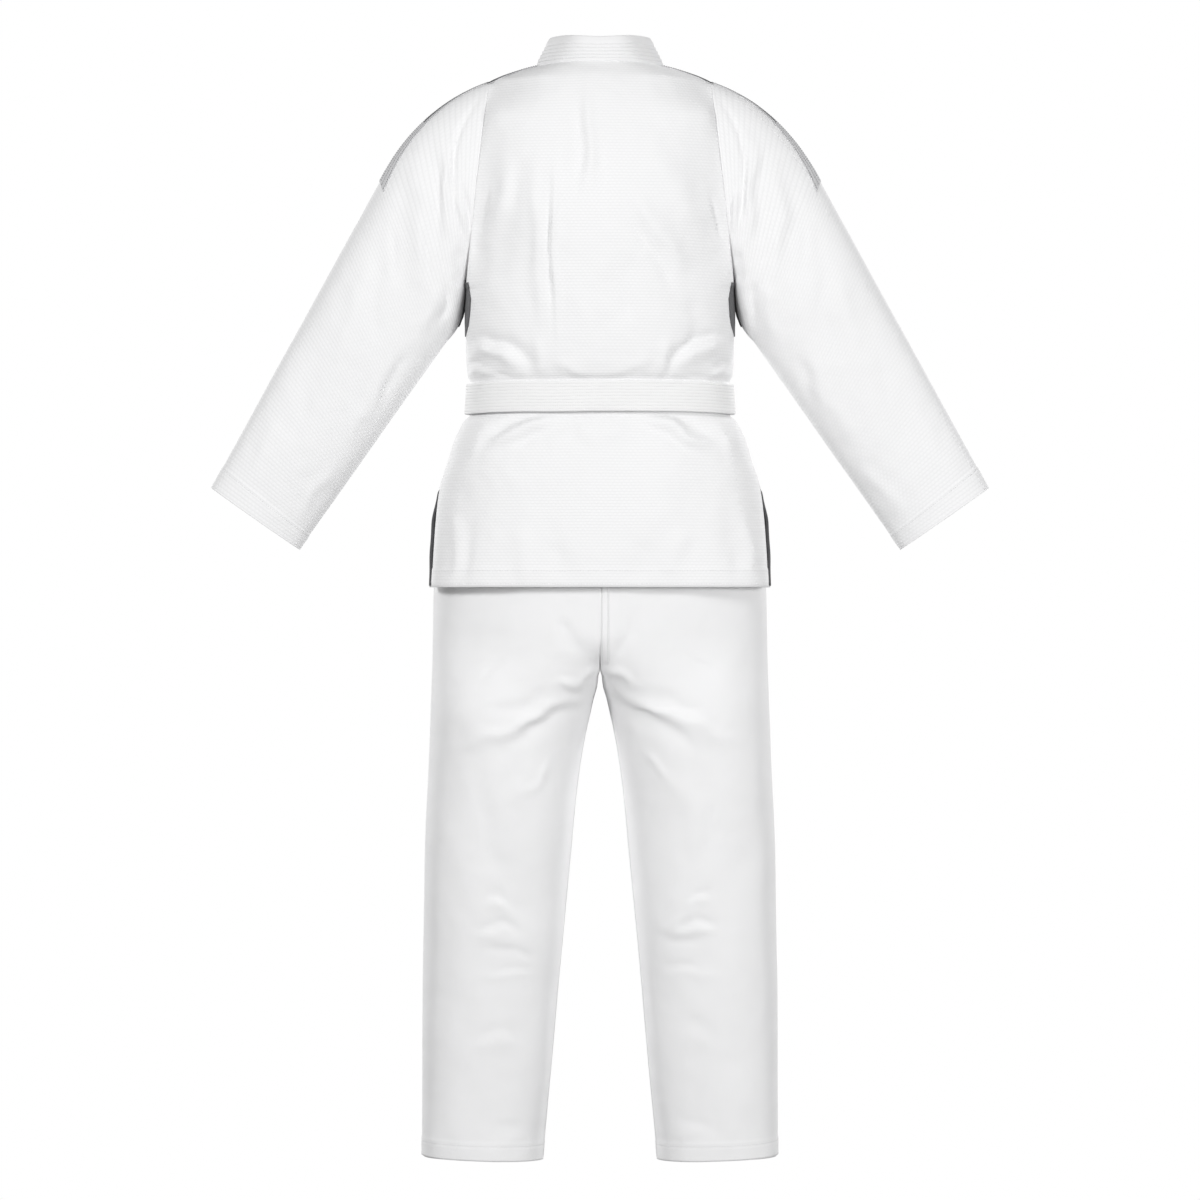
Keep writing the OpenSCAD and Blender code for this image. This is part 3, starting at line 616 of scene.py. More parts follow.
CREASES = [
    ([(68, -150), (70, -208), (71, -264), (68, -317), (66, -374), (63, -399)], -2.6, 2.2, 3.6),
    ([(-153, -187), (-161, -220), (-168, -249)], -1.7, 3, 5),
    ([(154, -172), (159, -214), (163, -250)], -1.7, 5, 3),
]
BACK_FOLDS = [
    ([(62, -120), (62, -230), (61, -320), (57, -400)], 2.6, 9, 5),
    ([(82, -130), (88, -240), (86, -330), (78, -400)], 1.8, 8, 12),
    ([(9, -18), (12, -70), (15, -125), (22, -206)], 2.0, 9, 9),
    ([(26, -60), (31, -125), (37, -200)], -1.4, 7, 8),
    ([(-4, -110), (-6, -170), (0, -230)], -1.2, 12, 10),
    ([(-43, -184), (-70, -222), (-100, -262), (-121, -306)], 2.6, 9, 12),
    ([(-32, -200), (-60, -246), (-92, -296), (-110, -340)], -1.8, 10, 9),
    ([(-77, -118), (-110, -190), (-150, -262)], 1.9, 13, 16),
    ([(-34, -260), (-40, -310), (-34, -370)], -1.4, 12, 12),
    ([(100, -120), (120, -200), (140, -280)], -1.5, 13, 14),
    ([(118, -110), (138, -180), (150, -250), (152, -320)], 1.8, 13, 12),
    ([(36, -300), (22, -350), (10, -400)], 1.5, 15, 15),
    ([(-10, -250), (4, -310), (-6, -380)], 1.1, 13, 15),
    ([(-120, -330), (-132, -370), (-120, -400)], -1.5, 10, 12),
]
WAIST_FOLDS = mirrored(
    ([(184, -388), (160, -384), (128, -392), (104, -418), (98, -440)], -4.2, 7, 9),
    ([(180, -402), (158, -398), (132, -408), (116, -430)], 4.6, 10, 9),
    ([(186, -420), (172, -418), (160, -424)], -3.2, 5, 5),
    ([(184, -432), (166, -430), (150, -438)], 2.4, 6, 6),
    ([(150, -446), (142, -438), (132, -439), (128, -446)], -2.4, 3, 4),
    ([(96, -380), (88, -410), (84, -444)], 2.4, 9, 10),
    ([(60, -404), (48, -424), (22, -437), (0, -440)], 2.2, 12, 10),
    ([(54, -425), (36, -438), (10, -444)], -1.4, 7, 7),
)
SKIRT_FOLDS = mirrored(
    ([(58, -488), (100, -508), (140, -530), (158, -542)], 3.4, 7, 9),
    ([(46, -494), (88, -518), (130, -544)], -1.6, 8, 10),
    ([(84, -488), (124, -502), (164, -530)], -1.8, 6, 8),
    ([(150, -498), (170, -520), (186, -560)], 1.6, 12, 10),
    ([(116, -640), (104, -690), (92, -730)], 1.8, 16, 18),
    ([(60, -660), (52, -700), (46, -730)], -1.4, 18, 16),
    ([(196, -610), (204, -670), (210, -728)], 1.2, 9, 9),
    ([(178, -620), (182, -680), (184, -728)], -1.2, 10, 10),
    ([(30, -500), (22, -520), (0, -526)], 1.2, 10, 10),
) + [([(-8, -488), (0, -491), (8, -488)], -3.0, 4, 4)]


def across(n):
    t = np.linspace(-1, 1, n)
    return 0.42 * t + 0.58 * np.sin(t * PI / 2)


def step_at(d, width, height):
    """A fold of cloth that ends a width away from an edge: d is the distance to the edge."""
    return height * (1 - smooth((d - width) / 1.6))


def groove(d, depth, width=1.1):
    return -depth * np.exp(-((d / width) ** 2))


rows = spread((0, -DROP, 14), (-DROP, UNDER, 74), (UNDER, -380, 14), (-380, -498, 46), (-498, VENT, 28),
              (VENT, HEM, 40))
cols = across(121)
Z, U = plane(rows, cols)
P = back_pt(Z, U)
X = P[..., 0]


def clear_of_belt(z):
    return smooth((z - BELT_TOP - 2) / 10) + smooth((BELT_LOW - 1 - z) / 12)


def back_lift(x, z, u):
    wx, wz = uneven(x, z, 71, 4.0)
    h = 1.5 * folds(x, z, *CREASES) + 1.6 * folds(wx, wz, *BACK_FOLDS) + 1.15 * folds(wx, wz, *WAIST_FOLDS)
    h += 1.7 * folds(wx, wz, *SKIRT_FOLDS) + waves(x, z, 3, 70, 0.9, 1.8) + waves(x, z, 4, 24, 0.22)
    return h * clear_of_belt(z) * (smooth((1 - np.abs(u)) / 0.06) * 0.85 + 0.15) * smooth(-z / 18)


seam_d = (1 - np.abs(U)) * edge_x(Z) * 2.2
lift = back_lift(X, Z, U) - 0.35 * np.exp(-((seam_d / 1.5) ** 2)) * (Z > UNDER) * (Z < -DROP)
lift += step_at(Z - HEM, HEM_FOLD, 0.9) + groove(Z - HEM - HEM_SEAM, 0.7) + groove(Z - HEM - 4, 0.5)
back, BP, BN = cloth("jacket_back", P, torso_centre(P), PEARL, lift=lift)
TAIL = ("jacket", "back_tail", (0, 0.119, (VENT + 2) * MM), (0, 0.119, (VENT - 72) * MM))
keep(back, ["jacket_back_panel", "jacket_back_tail"], TAIL)


def row_of(grid_rows, z):
    return np.interp(-np.asarray(z, float), -grid_rows, np.arange(len(grid_rows)))


def line_on(p, n, rows, cols, count):
    """A line on a cloth with its normals; rows and cols are each one number, or (start, end)."""
    r, c = (np.linspace(*(x if isinstance(x, tuple) else (x, x)), count) for x in (rows, cols))
    return sample(p, r, c), sample(n, r, c)


def closed(grid):
    """A wrapped grid that goes on past its start."""
    return np.concatenate([grid, grid[:, :2]], 1)


hem_lines = [line_on(BP, BN, row_of(rows, HEM + d), (1, len(cols) - 2), 300) for d in (HEM_SEAM, 4)]
back_thread = stitches("back_hem_stitches", hem_lines, THREAD)
keep(back_thread, body=TAIL)

# Its hem tape, inside
tape_rows = spread((HEM + HEM_FOLD, HEM + 1, 6))
tz, tu = plane(tape_rows, across(81) * 0.985)
tp = back_pt(tz, tu)
back_tape, _, _ = cloth("back_tape_cloth", tp, torso_centre(tp), TAPE, thick=1.0,
                        lift=np.full(tz.shape, -CLOTH - 0.3))
keep(back_tape, ["back_hem_tape"], TAIL)

# Yoke lining
lz, lu = plane(spread((-4, -DROP, 8), (-DROP, -190, 24)), across(61) * 0.9)
lp = back_pt(lz, lu)
lining, _, _ = cloth("yoke_lining", lp, torso_centre(lp), TAPE, thick=0.9,
                     lift=np.full(lz.shape, -CLOTH - 0.9))
keep(lining, ["back_yoke_lining"])

# Fronts: the left one lies over the right one
FRONT_FOLDS = [
    ([(150, -110), (110, -220), (70, -330), (50, -420)], 2.6, 14, 16),
    ([(170, -200), (130, -300), (96, -400)], -2.0, 12, 14),
    ([(185, -330), (150, -380), (110, -430)], 2.6, 12, 14),
    ([(186, -400), (150, -420), (110, -440)], -3.0, 8, 8),
    ([(120, -80), (116, -160), (96, -240)], 1.6, 14, 14),
    ([(60, -496), (90, -560), (110, -640)], 2.0, 14, 14),
    ([(150, -500), (170, -570), (182, -650)], -1.8, 14, 16),
    ([(190, -520), (206, -600), (216, -700)], 1.6, 12, 12),
    ([(40, -560), (52, -640), (60, -720)], -1.5, 14, 14),
    ([(100, -446), (96, -430), (80, -418)], 2.4, 10, 10),
]
f_rows = spread((0, -DROP, 14), (-DROP, UNDER, 60), (UNDER, -380, 12), (-380, -498, 36), (-498, VENT, 20),
                (VENT, HEM, 30))
f_share = np.sin(np.linspace(0, 1, 73) * PI / 2) * 0.55 + np.linspace(0, 1, 73) * 0.45


def front_grid(z, s, left):
    u0 = lapel_x(z) / edge_x(z)
    if left:
        return front_pt(z, mix(u0, 1, s))
    p = front_pt(z, mix(-u0, -1, s))
    p[..., 1] += tuck(p[..., 0], z)
    return p


def front_lift(p, z, s, left):
    x = np.abs(p[..., 0]) if left else np.abs(p[..., 0]) * 0.96 + 4
    wx, wz = uneven(x, z, 81 if left else 83)
    h = 1.7 * folds(wx, wz, *FRONT_FOLDS) + waves(p[..., 0], z, 11 if left else 12, 70, 0.8, 1.8)
    return h * clear_of_belt(z) * (smooth((1 - s) / 0.06) * 0.85 + 0.15) * smooth(s / 0.08) * smooth(-z / 18)


def make_front(side, left):
    name = "jacket_" + side + "_front_cloth"
    z, s = plane(f_rows, f_share)
    p = front_grid(z, s, left)
    lift = front_lift(p, z, s, left)
    lift += step_at(z - HEM, HEM_FOLD, 0.9) + groove(z - HEM - HEM_SEAM, 0.7)
    ob, q, n = cloth(name, p, torso_centre(p), PEARL, lift=lift)
    keep(ob, ["jacket_" + side + "_front"])
    hem = line_on(q, n, row_of(f_rows, HEM + HEM_SEAM), (1, 71), 200)
    vent_rows = row_of(f_rows, np.linspace(VENT - 2, HEM + 2, 60))
    vent = sample(q, vent_rows, np.full(60, 66.0)), sample(n, vent_rows, np.full(60, 66.0))
    thread = stitches(name + "_stitches", [hem, vent], THREAD)
    keep(thread)
    tz, ts = plane(tape_rows, np.linspace(0.03, 0.97, 50))
    tp = front_grid(tz, ts, left)
    tape, _, _ = cloth(side + "_front_tape_cloth", tp, torso_centre(tp), TAPE, thick=1.0,
                       lift=np.full(tz.shape, -CLOTH - 0.3))
    keep(tape, [side + "_front_hem_tape"])


make_front("left", True)
make_front("right", False)


# Dark tape that binds each vent edge of the fronts: a rounded strip that wraps the edge
def vent_tape(side, sign):
    z = spread((VENT + 3, VENT - 3, 4), (VENT - 3, HEM + 2, 44))
    left = sign > 0
    edge = front_grid(z, np.full(z.shape, 1.0), left)
    inward = front_grid(z, np.full(z.shape, 0.93), left)
    d = inward - edge
    d /= np.linalg.norm(d, axis=1, keepdims=True)
    out = np.array([sign * 1.0, 0, 0]) * np.ones((len(z), 1))
    out -= d * np.sum(out * d, 1)[:, None]
    out /= np.linalg.norm(out, axis=1, keepdims=True)
    wob = 0.8 * np.sin(z / 19.0) + 0.5 * np.sin(z / 7.3 + 1)
    grid = []
    size = smooth((VENT + 3 - z) / 8)
    for a in np.linspace(0, 2 * PI, 25)[:-1]:
        along, away = math.cos(a), math.sin(a)
        reach = np.where(along > 0, 8.0, 2.6) * size + 0.3
        deep = (2.1 * size + 0.3) + 0 * z
        mid = edge - out * 1.1 + out * (wob * 0.5)[:, None]
        wide, high = signed_pow(along, 0.7) * reach, signed_pow(away, 0.7) * deep
        grid.append(mid + d * wide[:, None] + out * high[:, None])
    p = np.stack(grid, 1)
    ob, q, n = cloth(side + "_vent_binding", p, p.mean(1, keepdims=True), VENT_TAPE, thick=0, wrap=True)
    cap_ends(ob)
    keep(ob, [side + "_vent_tape"])


def cap_ends(ob):
    """Closes a tube's two ends."""
    bm = bmesh.new()
    bm.from_mesh(ob.data)
    bmesh.ops.holes_fill(bm, edges=[e for e in bm.edges if e.is_boundary], sides=0)
    bmesh.ops.recalc_face_normals(bm, faces=bm.faces)
    bm.to_mesh(ob.data)
    bm.free()


for side, sign in (("left", 1), ("right", -1)):
    vent_tape(side, sign)


# Collar and lapels: one quilted band round the neck, t from -2 (right hem) to 2 (left hem)
def band_left(a, s):
    z = np.where(a < 1, 0, -(a - 1) * -HEM)
    u = np.where(a < 1, a, lapel_x(z) / edge_x(z))
    seam = np.where((a < 1)[..., None], back_pt(z, u), front_pt(z, u))
    w = smooth(a)[..., None]
    stand = mix(np.array([0, -11.0, 35]), np.array([-20.0, -8, 40]), w)
    seam[..., 0] += 3.0 * smooth(a) * smooth(1 + z / 60)  # it stands just outside the neckline
    rise = 46 * math.sin(math.atan(0.276)) * clamp01((z - HEM) / 120)
    flat_z = z + rise
    flat_at = front_pt(flat_z, lapel_free_x(z) / edge_x(flat_z))
    free = mix(seam + stand, flat_at, smooth(-z / 120)[..., None])
    return mix(seam, free, s[..., None])


def band_pt(t, s):
    t, s = np.broadcast_arrays(np.asarray(t, float), np.asarray(s, float))
    a = np.abs(t)
    p = band_left(a, s)
    q = flip_x(p)
    q[..., 1] += np.where(a > 1, tuck(q[..., 0], np.where(a < 1, 0, (a - 1) * HEM)), 0)
    return np.where((t >= 0)[..., None], p, q)


half = spread((0, 0.9, 25), (0.9, 1.12, 33), (1.12, 2, 129))
stations = np.concatenate([-half[:0:-1], half])
BAND_S = np.linspace(-0.04, 1, 50)
QUILT = [0.1, 0.24, 0.38, 0.52, 0.66]


BAND_WIDE = 46


def quilt(s):
    """The band's half thickness: full between the stitch rows and pinched along them."""
    h = 3.4 * np.clip(1 - np.abs(2 * s - 1) ** 7, 0, 1) ** 0.4
    for q in QUILT:
        h = h - 1.15 * np.exp(-(((s - q) * BAND_WIDE / 1.5) ** 2))
    return np.maximum(h, 0.15)


def band_grid():
    t, s = plane(stations, BAND_S)
    mid = band_pt(t, s)
    n, _ = normals(mid, np.ones(mid.shape) * [0, 0, -300.0])
    # One side of the band faces away from the body all the way round
    out = mid * [1.0, 1, 0]
    flipped = np.sum(n * out, -1, keepdims=True) < 0
    n = np.where(flipped & (np.abs(np.sum(n * out, -1, keepdims=True)) > 0), -n, n)
    for _ in range(2):
        n = (n + np.roll(n, 1, 0) + np.roll(n, -1, 0)) / 3
    n /= np.linalg.norm(n, axis=2, keepdims=True)
    h = quilt(s)[..., None]
    loop = np.concatenate([mid + n * h, (mid - n * h)[:, ::-1]], 1)
    return loop, mid, n


loop, band_mid, band_n = band_grid()
collar, _, _ = cloth("collar_band", loop, loop.mean(1, keepdims=True), DRILL, thick=0, wrap=True)
cap_ends(collar)
keep(collar, ["collar_cover", "collar_core"])
quilt_lines = []
for q in QUILT:
    for face in (1, -1):
        r = np.linspace(1, len(stations) - 2, 900)
        c = np.full(900, np.interp(q, BAND_S, np.arange(len(BAND_S))))
        centre_line, nor = sample(band_mid, r, c), sample(band_n, r, c) * face
        quilt_lines.append((centre_line + nor * (3.4 - 1.15), nor))
collar_thread = stitches("collar_stitches", quilt_lines, THREAD, pitch=3.8)
keep(collar_thread)

# Sleeves
v_rows = np.concatenate([[-0.03, -0.015], spread((0, 0.3, 84), (0.3, 0.94, 110), (0.94, 1, 30))])
angles = np.linspace(0, 360, 141)[:-1]
SLEEVE_CREASES = [
    ([(163, -40), (185, -75), (197, -100), (204, -137), (203, -165), (201, -200), (192, -238), (180, -272)],
     -2.6, 3.2, 4.5),
    ([(194, -168), (184, -198), (180, -220), (178, -254)], -2.2, 3.5, 2.5),
    ([(289, -225), (288, -262), (284, -305)], -1.4, 4, 6),
    ([(241, -230), (240, -268), (236, -310)], -1.4, 5, 4),
]
SLEEVE_FOLDS = [
    ([(196, -172), (191, -205), (185, -242)], 2.2, 5, 5),
    ([(214, -110), (216, -160), (212, -215), (202, -270)], 2.4, 8, 7),
    ([(190, -262), (194, -286), (198, -310)], -3.0, 8, 9),
    ([(226, -120), (228, -200), (220, -290)], -1.4, 9, 8),
    ([(252, -130), (254, -220), (244, -330)], 1.8, 10, 11),
    ([(272, -150), (276, -260), (262, -360)], -1.6, 13, 13),
    ([(216, -300), (214, -340), (222, -372)], -2.6, 7, 7),
    ([(236, -300), (238, -340), (250, -390)], 2.4, 10, 10),
    ([(300, -230), (312, -330), (318, -420)], -1.8, 13, 13),
    ([(330, -280), (352, -380), (372, -470)], 1.8, 14, 15),
    ([(262, -400), (280, -430), (312, -480)], -1.8, 9, 9),
    ([(290, -400), (318, -460), (352, -540)], 1.9, 12, 12),
    ([(390, -400), (410, -470), (440, -560)], -1.6, 15, 15),
    ([(360, -540), (392, -590), (428, -650)], 1.8, 12, 12),
    ([(440, -480), (470, -540), (496, -600)], 1.2, 14, 14),
]


def sleeve_lift(x, z, a, sign):
    """x is the distance from the centre; a, the angle round the sleeve, is over 180 or under 0 in front."""
    front = (a > 180) | (a < 0)
    x = x + (0 if sign > 0 else 3)
    wx, wz = uneven(x, z + front * 9, 91 if sign > 0 else 93)
    facing = np.abs(np.sin(np.radians(a))) ** 0.6
    seed = 21 if sign > 0 else 22
    swell = waves(x * 0.8 + 500 * front, z, seed, 64, 0.8, 1.8) + waves(x, z, seed + 5, 22, 0.2)
    return (1.5 * folds(wx, wz, *SLEEVE_FOLDS) + 1.4 * folds(x, z, *SLEEVE_CREASES) + swell) * facing


BAND_STITCH = dict(pitch=3.4, radius=0.42, share=0.8)
BAND_ROWS = [-0.94, -0.7, -0.46, -0.22, 0.22, 0.46, 0.7, 0.94]


def make_sleeve(side, sign):
    v, a = plane(v_rows, angles)
    p = sleeve_pt(np.maximum(v, 0), a)
    under = clamp01(-v / 0.03)
    p[..., 0] -= 7 * under
    p[..., 1] *= 1 - 0.05 * under
    x, z = p[..., 0], p[..., 2]
    lift = sleeve_lift(x, z, a, sign)
    cuff_d = (1 - v) * SLEEVE_LONG
    lift = lift * smooth((v + 0.01) / 0.05) * smooth((cuff_d + 8) / 30)
    lift -= 0.5 * (1 - smooth((v + 0.006) / 0.008))
    lift += step_at(cuff_d, 26, 0.8) + groove(cuff_d - 24, 0.6)
    centre = p.mean(1, keepdims=True)
    p, centre = on_side(sign, p, centre)
    ob, q, n = cloth(side + "_sleeve_cloth", p, centre, PEARL, wrap=True, lift=lift)
    body = ("jacket", side + "_sleeve", (sign * 0.19, 0, -0.2), (sign * 0.30, 0, -0.2))
    keep(ob, [side + "_sleeve"], body)
    seam = np.interp(1 - 24 / SLEEVE_LONG, v_rows, np.arange(len(v_rows)))
    thread = stitches(side + "_cuff_stitches", [line_on(closed(q), closed(n), seam, (0, 140), 240)], THREAD)
    keep(thread, body=body)
    # Cuff tape inside
    tv, ta = plane(np.linspace(0.957, 0.998, 8), np.linspace(0, 360, 97)[:-1])
    tp = sleeve_pt(tv, ta)
    tc = tp.mean(1, keepdims=True)
    tp, tc = on_side(sign, tp, tc)
    tape, _, _ = cloth(side + "_cuff_tape_cloth", tp, tc, TAPE, thick=1.0, wrap=True,
                       lift=np.full(tv.shape, -CLOTH - 0.3))
    keep(tape, [side + "_cuff_tape"], body)
    # Sleeve part of the contrast band, over the top edge
    bv, bs = plane(np.linspace(0.0, 0.315, 80), np.linspace(-1, 1, 41))
    ba = bs * mix(9, 33, (bv / 0.315) ** 1.3)
    bp = sleeve_pt(bv, ba)
    bc = sleeve_pt(bv, 180 + 0 * ba)
    bp, bc = on_side(sign, bp, bc)
    up = 1.3 + sleeve_lift(np.abs(bp[..., 0]), bp[..., 2], ba, sign) * smooth((bv + 0.01) / 0.05)
    for k in BAND_ROWS:
        up = up - 0.5 * np.exp(-(((bs - k) * 33 / 1.2) ** 2))
    dark = (np.abs(bs[:-1, :-1]) < 0.75) & (bv[:-1, :-1] < 0.15 + 0.02 * np.abs(bs[:-1, :-1]))
    band, q, n = cloth(side + "_sleeve_band_cloth", bp, bc, BAND, thick=1.1, lift=up,
                       second=(BAND_DARK, dark))
    keep(band, [side + "_sleeve_band"], body)
    lines = [line_on(q, n, (0, 78), (k + 1) * 20, 200) for k in BAND_ROWS]
    thread = stitches(side + "_sleeve_band_stitches", lines, THREAD_GREY, **BAND_STITCH)
    keep(thread, body=body)
    # Sleeve part of the underarm gusset
    gv, gs = plane(np.linspace(0.004, 0.2, 26), np.linspace(-1, 1, 31))
    ga = 180 + gs * mix(25, 3, gv / 0.2)
    gp = sleeve_pt(gv, ga)
    gc = sleeve_pt(gv, 0 * ga)
    gp, gc = on_side(sign, gp, gc)
    gus, _, _ = cloth(side + "_sleeve_gusset_cloth", gp, gc, GUSSET, thick=1.0,
                      lift=1.0 + 0.4 * waves(gv * 300, gs * 30, 31, 16, 1.0))
    keep(gus, [side + "_sleeve_gusset"], body)


for side, sign in (("left", 1), ("right", -1)):
    make_sleeve(side, sign)


# Shoulder bands, over the seam from the neck to the sleeve
def shoulder_pt(r, s):
    r, s = np.broadcast_arrays(r, s)
    x = mix(88, 157, r)
    ridge = np.interp(-x, -np.array([160, 155, 136, 106, 84.0]), [-26, -24, -15, -5.5, 0.0])
    drop = np.abs(s) ** 1.3 * np.where(s > 0, mix(1.2, 4.0, r), 9)
    z = ridge - drop
    u = np.clip(x / edge_x(z), 0, 1)
    b, f = back_pt(z, u), front_pt(z, u)
    p = np.where((s > 0)[..., None], b, f)
    p[..., 0] = x
    p[..., 1] = np.where(np.abs(s) < 1e-6, 0, p[..., 1])
    return p


def shoulder_band(side, sign):
    r, s = plane(np.linspace(0, 1, 30), np.linspace(-1, 1, 33))
    p = shoulder_pt(r, s)
    c = p * np.array([1.0, 0, 0]) + np.array([0, 0, -160.0])
    p, c = on_side(sign, p, c)
    dark = np.abs(s[:-1, :-1] - 0.25) < 0.6
    ob, q, n = cloth(side + "_shoulder_band_cloth", p, c, BAND, thick=1.1, lift=np.full(r.shape, 1.2),
                     second=(BAND_DARK, dark))
    keep(ob, [side + "_shoulder_band"])
    lines = [line_on(q, n, (0, 28.9), (k + 1) * 16, 120) for k in (-0.86, -0.5, 0.5, 0.86)]
    thread = stitches(side + "_shoulder_band_stitches", lines, THREAD_DARK, **BAND_STITCH)
    keep(thread)


# Underarm gusset on the body
def underarm(side, sign):
    z, s = plane(np.linspace(-306, -379, 30), np.linspace(-1, 1, 33))
    width = np.interp(-z, [306, 316, 330, 352, 366, 379], [0.026, 0.04, 0.054, 0.044, 0.03, 0.003])
    u = 1 - width * np.abs(s) ** 1.9
    b, f = back_pt(z, u), front_pt(z, u)
    p = np.where((s >= 0)[..., None], b, f)
    if sign < 0:
        p = flip_x(p)
    at = back_lift(p[..., 0], z, u) * (s > 0) + front_lift(p, z, u, sign > 0) * (s < 0)
    ob, _, _ = cloth(side + "_underarm_gusset_cloth", p, torso_centre(p), GUSSET, thick=1.0,
                     lift=1.1 + at + 0.35 * waves(z, s * 40, 33, 18, 1.0))
    keep(ob, [side + "_underarm_gusset"])


for side, sign in (("left", 1), ("right", -1)):
    shoulder_band(side, sign)
    underarm(side, sign)

# Belt
BELT_ROWS = np.linspace(-17.5, 17.5, 9)


def waist_ring(a, off):
    """a in degrees, 0 at the wearer's left, 90 at the back."""
    r = np.radians(a)
    back, front = 98.8, 105.8
    x = (179 + off) * signed_pow(np.cos(r), 2 / 2.3)
    y = np.where(np.sin(r) >= 0, back + off, front + off) * signed_pow(np.sin(r), 2 / 2.3)
    return x, y


def belt_wrap(name, node, off, thick, seed):
    hs = np.concatenate([[-21, -20.6], np.linspace(-20, 20, 61), [20.6, 21]])
    ang = np.linspace(0, 360, 241)[:-1]
    h, a = plane(hs, ang)
    x, y = waist_ring(a, off)
    side_out = np.abs(np.cos(np.radians(a))) ** 6
    back_side = smooth(np.sin(np.radians(a)) * 2)
    sag = -2.0 * side_out * back_side - 0.8 * back_side * np.exp(-((x - 60) / 40) ** 2)
    p = stack(x, y, BELT_Z + h + sag)
    lift = np.zeros(h.shape)
    for k in BELT_ROWS:
        lift -= 0.34 * np.exp(-(((h - k) / 0.75) ** 2))
    lift -= 1.1 * smooth((np.abs(h) - 19.2) / 1.8)
    lift += side_out * (1.2 - 0.09 * h) * smooth((21.5 - h) / 8) * 0.8
    lift += waves(x, h * 3, seed, 90, 0.25) * back_side
    ob, q, n = cloth(name, p, torso_centre(p), BELT, thick=thick, wrap=True, lift=lift)
    keep(ob, [node])
    return q, n, hs


belt_q, belt_n, belt_h = belt_wrap("belt_outer", "belt_outer_wrap", 8.6, 3.7, 41)
belt_wrap("belt_inner", "belt_inner_wrap", 4.6, 3.6, 42)
lines = []
for k in BELT_ROWS:
    row = np.interp(k, belt_h, np.arange(len(belt_h)))
    lines.append(line_on(closed(belt_q), closed(belt_n), row, (0, 240), 700))
belt_thread = stitches("belt_stitches", lines, THREAD, pitch=3.0, radius=0.28)
keep(belt_thread)


def strap(name, path, side_vec, width, thick):
    """A flat strap along a path: side_vec points across it, for each point of the path."""
    path = np.array(path, float)
    side_vec = np.array(side_vec, float)
    t = np.linspace(0, 1, len(path))
    tt = np.linspace(0, 1, 64)
    fine = np.stack([curve(*zip(t, path[:, k]))(tt) for k in range(3)], 1)
    sv = np.stack([np.interp(tt, t, side_vec[:, k]) for k in range(3)], 1)
    tan = np.gradient(fine, axis=0)
    tan /= np.linalg.norm(tan, axis=1, keepdims=True)
    sv -= tan * np.sum(sv * tan, 1)[:, None]
    sv /= np.linalg.norm(sv, axis=1, keepdims=True)
    nor = np.cross(tan, sv)
    s = np.linspace(-1, 1, 41)
    top = fine[:, None] + sv[:, None] * (s * width / 2)[None, :, None]
    h = thick / 2 * np.clip(1 - np.abs(s) ** 12, 0.05, 1) ** 0.5
    for k in BELT_ROWS:
        h = h - 0.3 * np.exp(-(((s * 21 - k) / 0.75) ** 2))
    off = nor[:, None] * h[None, :, None]
    grid = np.concatenate([top + off, (top - off)[:, ::-1]], 1)
    ob, _, _ = cloth(name, grid, grid.mean(1, keepdims=True), BELT, thick=0, wrap=True)
    cap_ends(ob)
    return ob


def join(name, parts):
    bpy.ops.object.select_all(action="DESELECT")
    for o in parts:
        o.select_set(True)
    bpy.context.view_layer.objects.active = parts[0]
    bpy.ops.object.join()
    parts[0].name = name
    return parts[0]


# Knot: the belt passes behind itself, over the crossing and out at both sides
over = strap("k1", [(-27, -120, -462), (-20, -129, -464), (0, -134, -467), (20, -129, -470),
                    (27, -120, -472)], [(0, 0, 1)] * 5, 36, 4)
upright = strap("k2", [(-6, -116, -444), (-6, -127, -444.5), (-4, -138, -455), (-2, -139.5, -468),
                       (0, -136, -484), (2, -124, -490), (2, -117, -488)], [(1, 0, 0.1)] * 7, 34, 4)
left_out = strap("k3", [(4, -122, -478), (14, -125, -482), (24, -127, -488), (28, -128, -497)],
                 [(-0.5, 0, -0.86), (-0.6, 0, -0.8), (-0.8, 0, -0.6), (-0.97, 0, -0.22)], 36, 3.8)
right_out = strap("k4", [(-4, -126, -476), (-14, -128, -482), (-24, -129, -489), (-28, -128.4, -497)],
                  [(0.5, 0, -0.86), (0.6, 0, -0.8), (0.8, 0, -0.6), (0.97, 0, -0.22)], 36, 3.8)
knot = join("belt_knot_straps", [over, upright, left_out, right_out])
keep(knot, ["belt_knot"])

for side, sign in (("left", 1), ("right", -1)):
    splay = math.radians(13)
    top = np.array([sign * 21.9, -128.0, -494.3])
    run = np.array([sign * math.sin(splay), -0.035, -math.cos(splay)])
    path = [top + run * s + np.array([0, 0.8 * math.sin(s / 42.0), 0]) for s in np.linspace(0, 262, 9)]
    across_vec = [(math.cos(splay), 0, sign * math.sin(splay))] * 9
    end = strap("belt_" + side + "_tail", path, across_vec, 41, 3.6)
    keep(end, ["belt_" + side + "_end"], side + "_belt_end")

